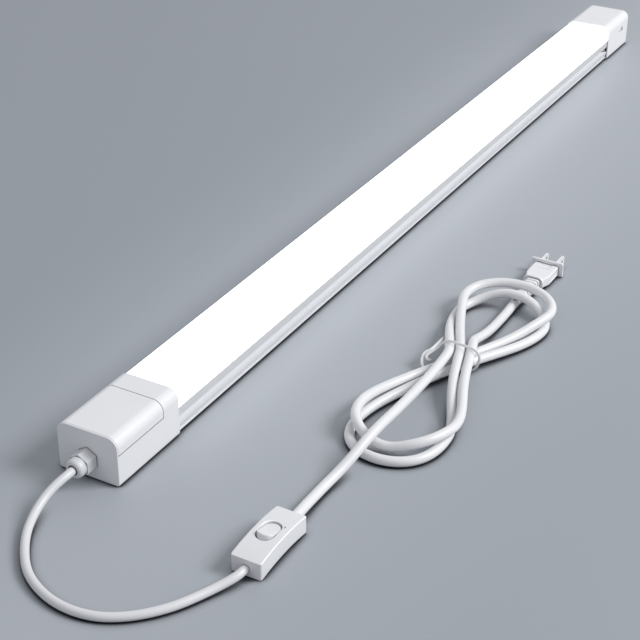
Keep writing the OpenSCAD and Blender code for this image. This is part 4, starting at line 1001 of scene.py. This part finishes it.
# %% Wires and the cord's end in the gland
WIRE_R = 0.9
supply = [(1.2, 14, 14.25), (1.2, 16, 14.25), (1.6, 19, 12.65), (2.6, 22, 9.4), (3.5, 25, 7),
          (3.5, 28, 7), (3.5, 31, 7)]
drive = [(3.5, 41, 7), (3.5, 46, 7), (4, 54.8, 7), (4.4, 64.3, 7.2), (4.4, 71.3, 7),
         (4.4, 78.3, 7)]
output = [(1.75, 232.3, 7), (1.75, 238.3, 7), (1.75, 245.3, 7.6), (1.75, 249.8, 10),
          (1.75, 250.3, 14), (1.75, 251.1, 17.2), (1.75, 254.8, 17.7), (1.75, 258.3, 17.7)]
for node, route in (("supply_leads", supply), ("driver_leads", drive), ("output_leads", output)):
    pair = [swept(node, smooth([(side * x, s, z) for x, s, z in route], 6), WIRE_R, 12,
                  finish_for[slots[node]]) for side in (-1, 1)]
    dressed(node.replace("leads", "wires"), together(node, [wire.data for wire in pair]),
            slots[node], [node])
inlet = swept("cord_end", smooth([(0, -15.3, 14.25), (0, 0, 14.25), (0, 14, 14.25)], 4),
              LAMP_CORD / 2, 20, cord_plastic)
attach(inlet, "light")
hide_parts("cord_inlet")

# %% [markdown]
# ## The light chips
# Two rows of chips sit on the board under the opal cover. Each is a white package with a dish of
# yellow phosphor, and 40 of them repeat every 20 mm, so the row tree lays them too.

# %% Chips
CHIP_RINGS = [(1.75, 1.4, 0), (1.75, 1.4, 0.62), (1.67, 1.32, 0.7), (1.3, 0.95, 0.7),
              (1.15, 0.8, 0.5), (0.6, 0.4, 0.56)]
CHIPS, CHIP_STEP = 40, 0.02
chip = skinned([[Vector((x * w, y * l, z)) / 1000 for x, y in ((-1, -1), (1, -1), (1, 1), (-1, 1))]
                for w, l, z in CHIP_RINGS])
chips = in_rows("chips", chip, [(tuple(at(x, 70.8, 16)), (0, CHIP_STEP, 0), CHIPS)
                                for x in (-7, 7)], finish_for[slots["led_chips"]])
dressed("chips", chips, slots["led_chips"], ["led_chips"])

# %% [markdown]
# ## What each cord carries
# The lamp's cord ends in the switch, so the switch goes where it goes. The plug's cord is coiled
# and takes the plug and the twist tie with it.

# %% Each cord rides on the light and stands for its solids
for obj, stands_for in ((lamp_cord, ["cord_to_switch"]),
                        (plug_cord, ["cord_to_hank", "cord_hank", "cord_to_plug"]),
                        (twist_tie, ["cord_tie"])):
    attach(obj, "light")
    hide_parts(*stands_for)
at(*lamp_line[0])
run(lamp_line) / 1000
[at(*p) for p in lamp_line]
at(*plug_line[0])
run(plug_line) / 1000
[at(*p) for p in plug_line]

# %% [markdown]
# ## Floor and light
# The light lies on a plain pale surface. One large soft lamp stands beyond the right side, so
# tops and right sides are bright and front faces fall into shade, which a pale sky fills. The
# floor's colour carries painted light and shade: darker on the left, lightest just right of the
# light, and darkened next to every part as painted contact shadow.

# %% Floor
FLOOR_DROP = 0.0002
floor = in_scene("floor", bpy.data.meshes.new("floor"))
floor.data.from_pydata([(-4, -3, 0), (4, -3, 0), (4, 6, 0), (-4, 6, 0)], [], [(0, 1, 2, 3)])
floor.location.z = -FLOOR_DROP
floor_with_painted_light, bench, shader = finish_of("floor with painted light", (0.36, 0.385, 0.42), 0.42)

def painted_light_step(start, stop, height):
    return bench.node("ShaderNodeMapRange", {"interpolation_type": "SMOOTHSTEP"},
                      {0: object_axis(bench, 0), 1: start, 2: stop, 3: 0.0, 4: height})

# Painted light and shade on the floor: darker to the left, lightest just right of the light where
# its glow falls, and a little darker again further right.
share = painted_light_step(-0.2, 0.06, 1.0) * 0.85 - painted_light_step(0.05, 0.3, 0.55)
tone = mix_colour(bench, share + object_noise(bench, 1.2, 2) * 0.15, (0.285, 0.308, 0.342),
                  (0.395, 0.418, 0.45))
# Painted contact shadows: the floor's colour darkens within 7 mm of every part.
feed(bench, shader, "Base Color", painted_occlusion_shade(bench, tone, 7, (0.02, 0.022, 0.03)))
floor.data.materials.append(floor_with_painted_light)

# %% Lamp and sky
KEY_PLACE, KEY_AIM, KEY_SIZE, KEY_WATTS = Vector((2.7, 0.9, 2.45)), Vector((0, -0.1, 0)), 1.5, 112
SKY_COLOUR, SKY_STRENGTH = (0.93, 0.955, 1.0, 1), 0.56
lamp = bpy.data.lights.new("key", "AREA")
lamp.shape, lamp.size, lamp.energy = "SQUARE", KEY_SIZE, KEY_WATTS
key = in_scene("key", lamp)
key.location = KEY_PLACE
key.rotation_euler = (KEY_AIM - KEY_PLACE).to_track_quat("-Z", "Y").to_euler()
world = bpy.data.worlds.new("studio")
world.use_nodes = True
sky = world.node_tree.nodes["Background"].inputs
sky["Color"].default_value, sky["Strength"].default_value = SKY_COLOUR, SKY_STRENGTH
bpy.context.scene.world = world
bpy.context.scene.view_settings.view_transform = "Standard"
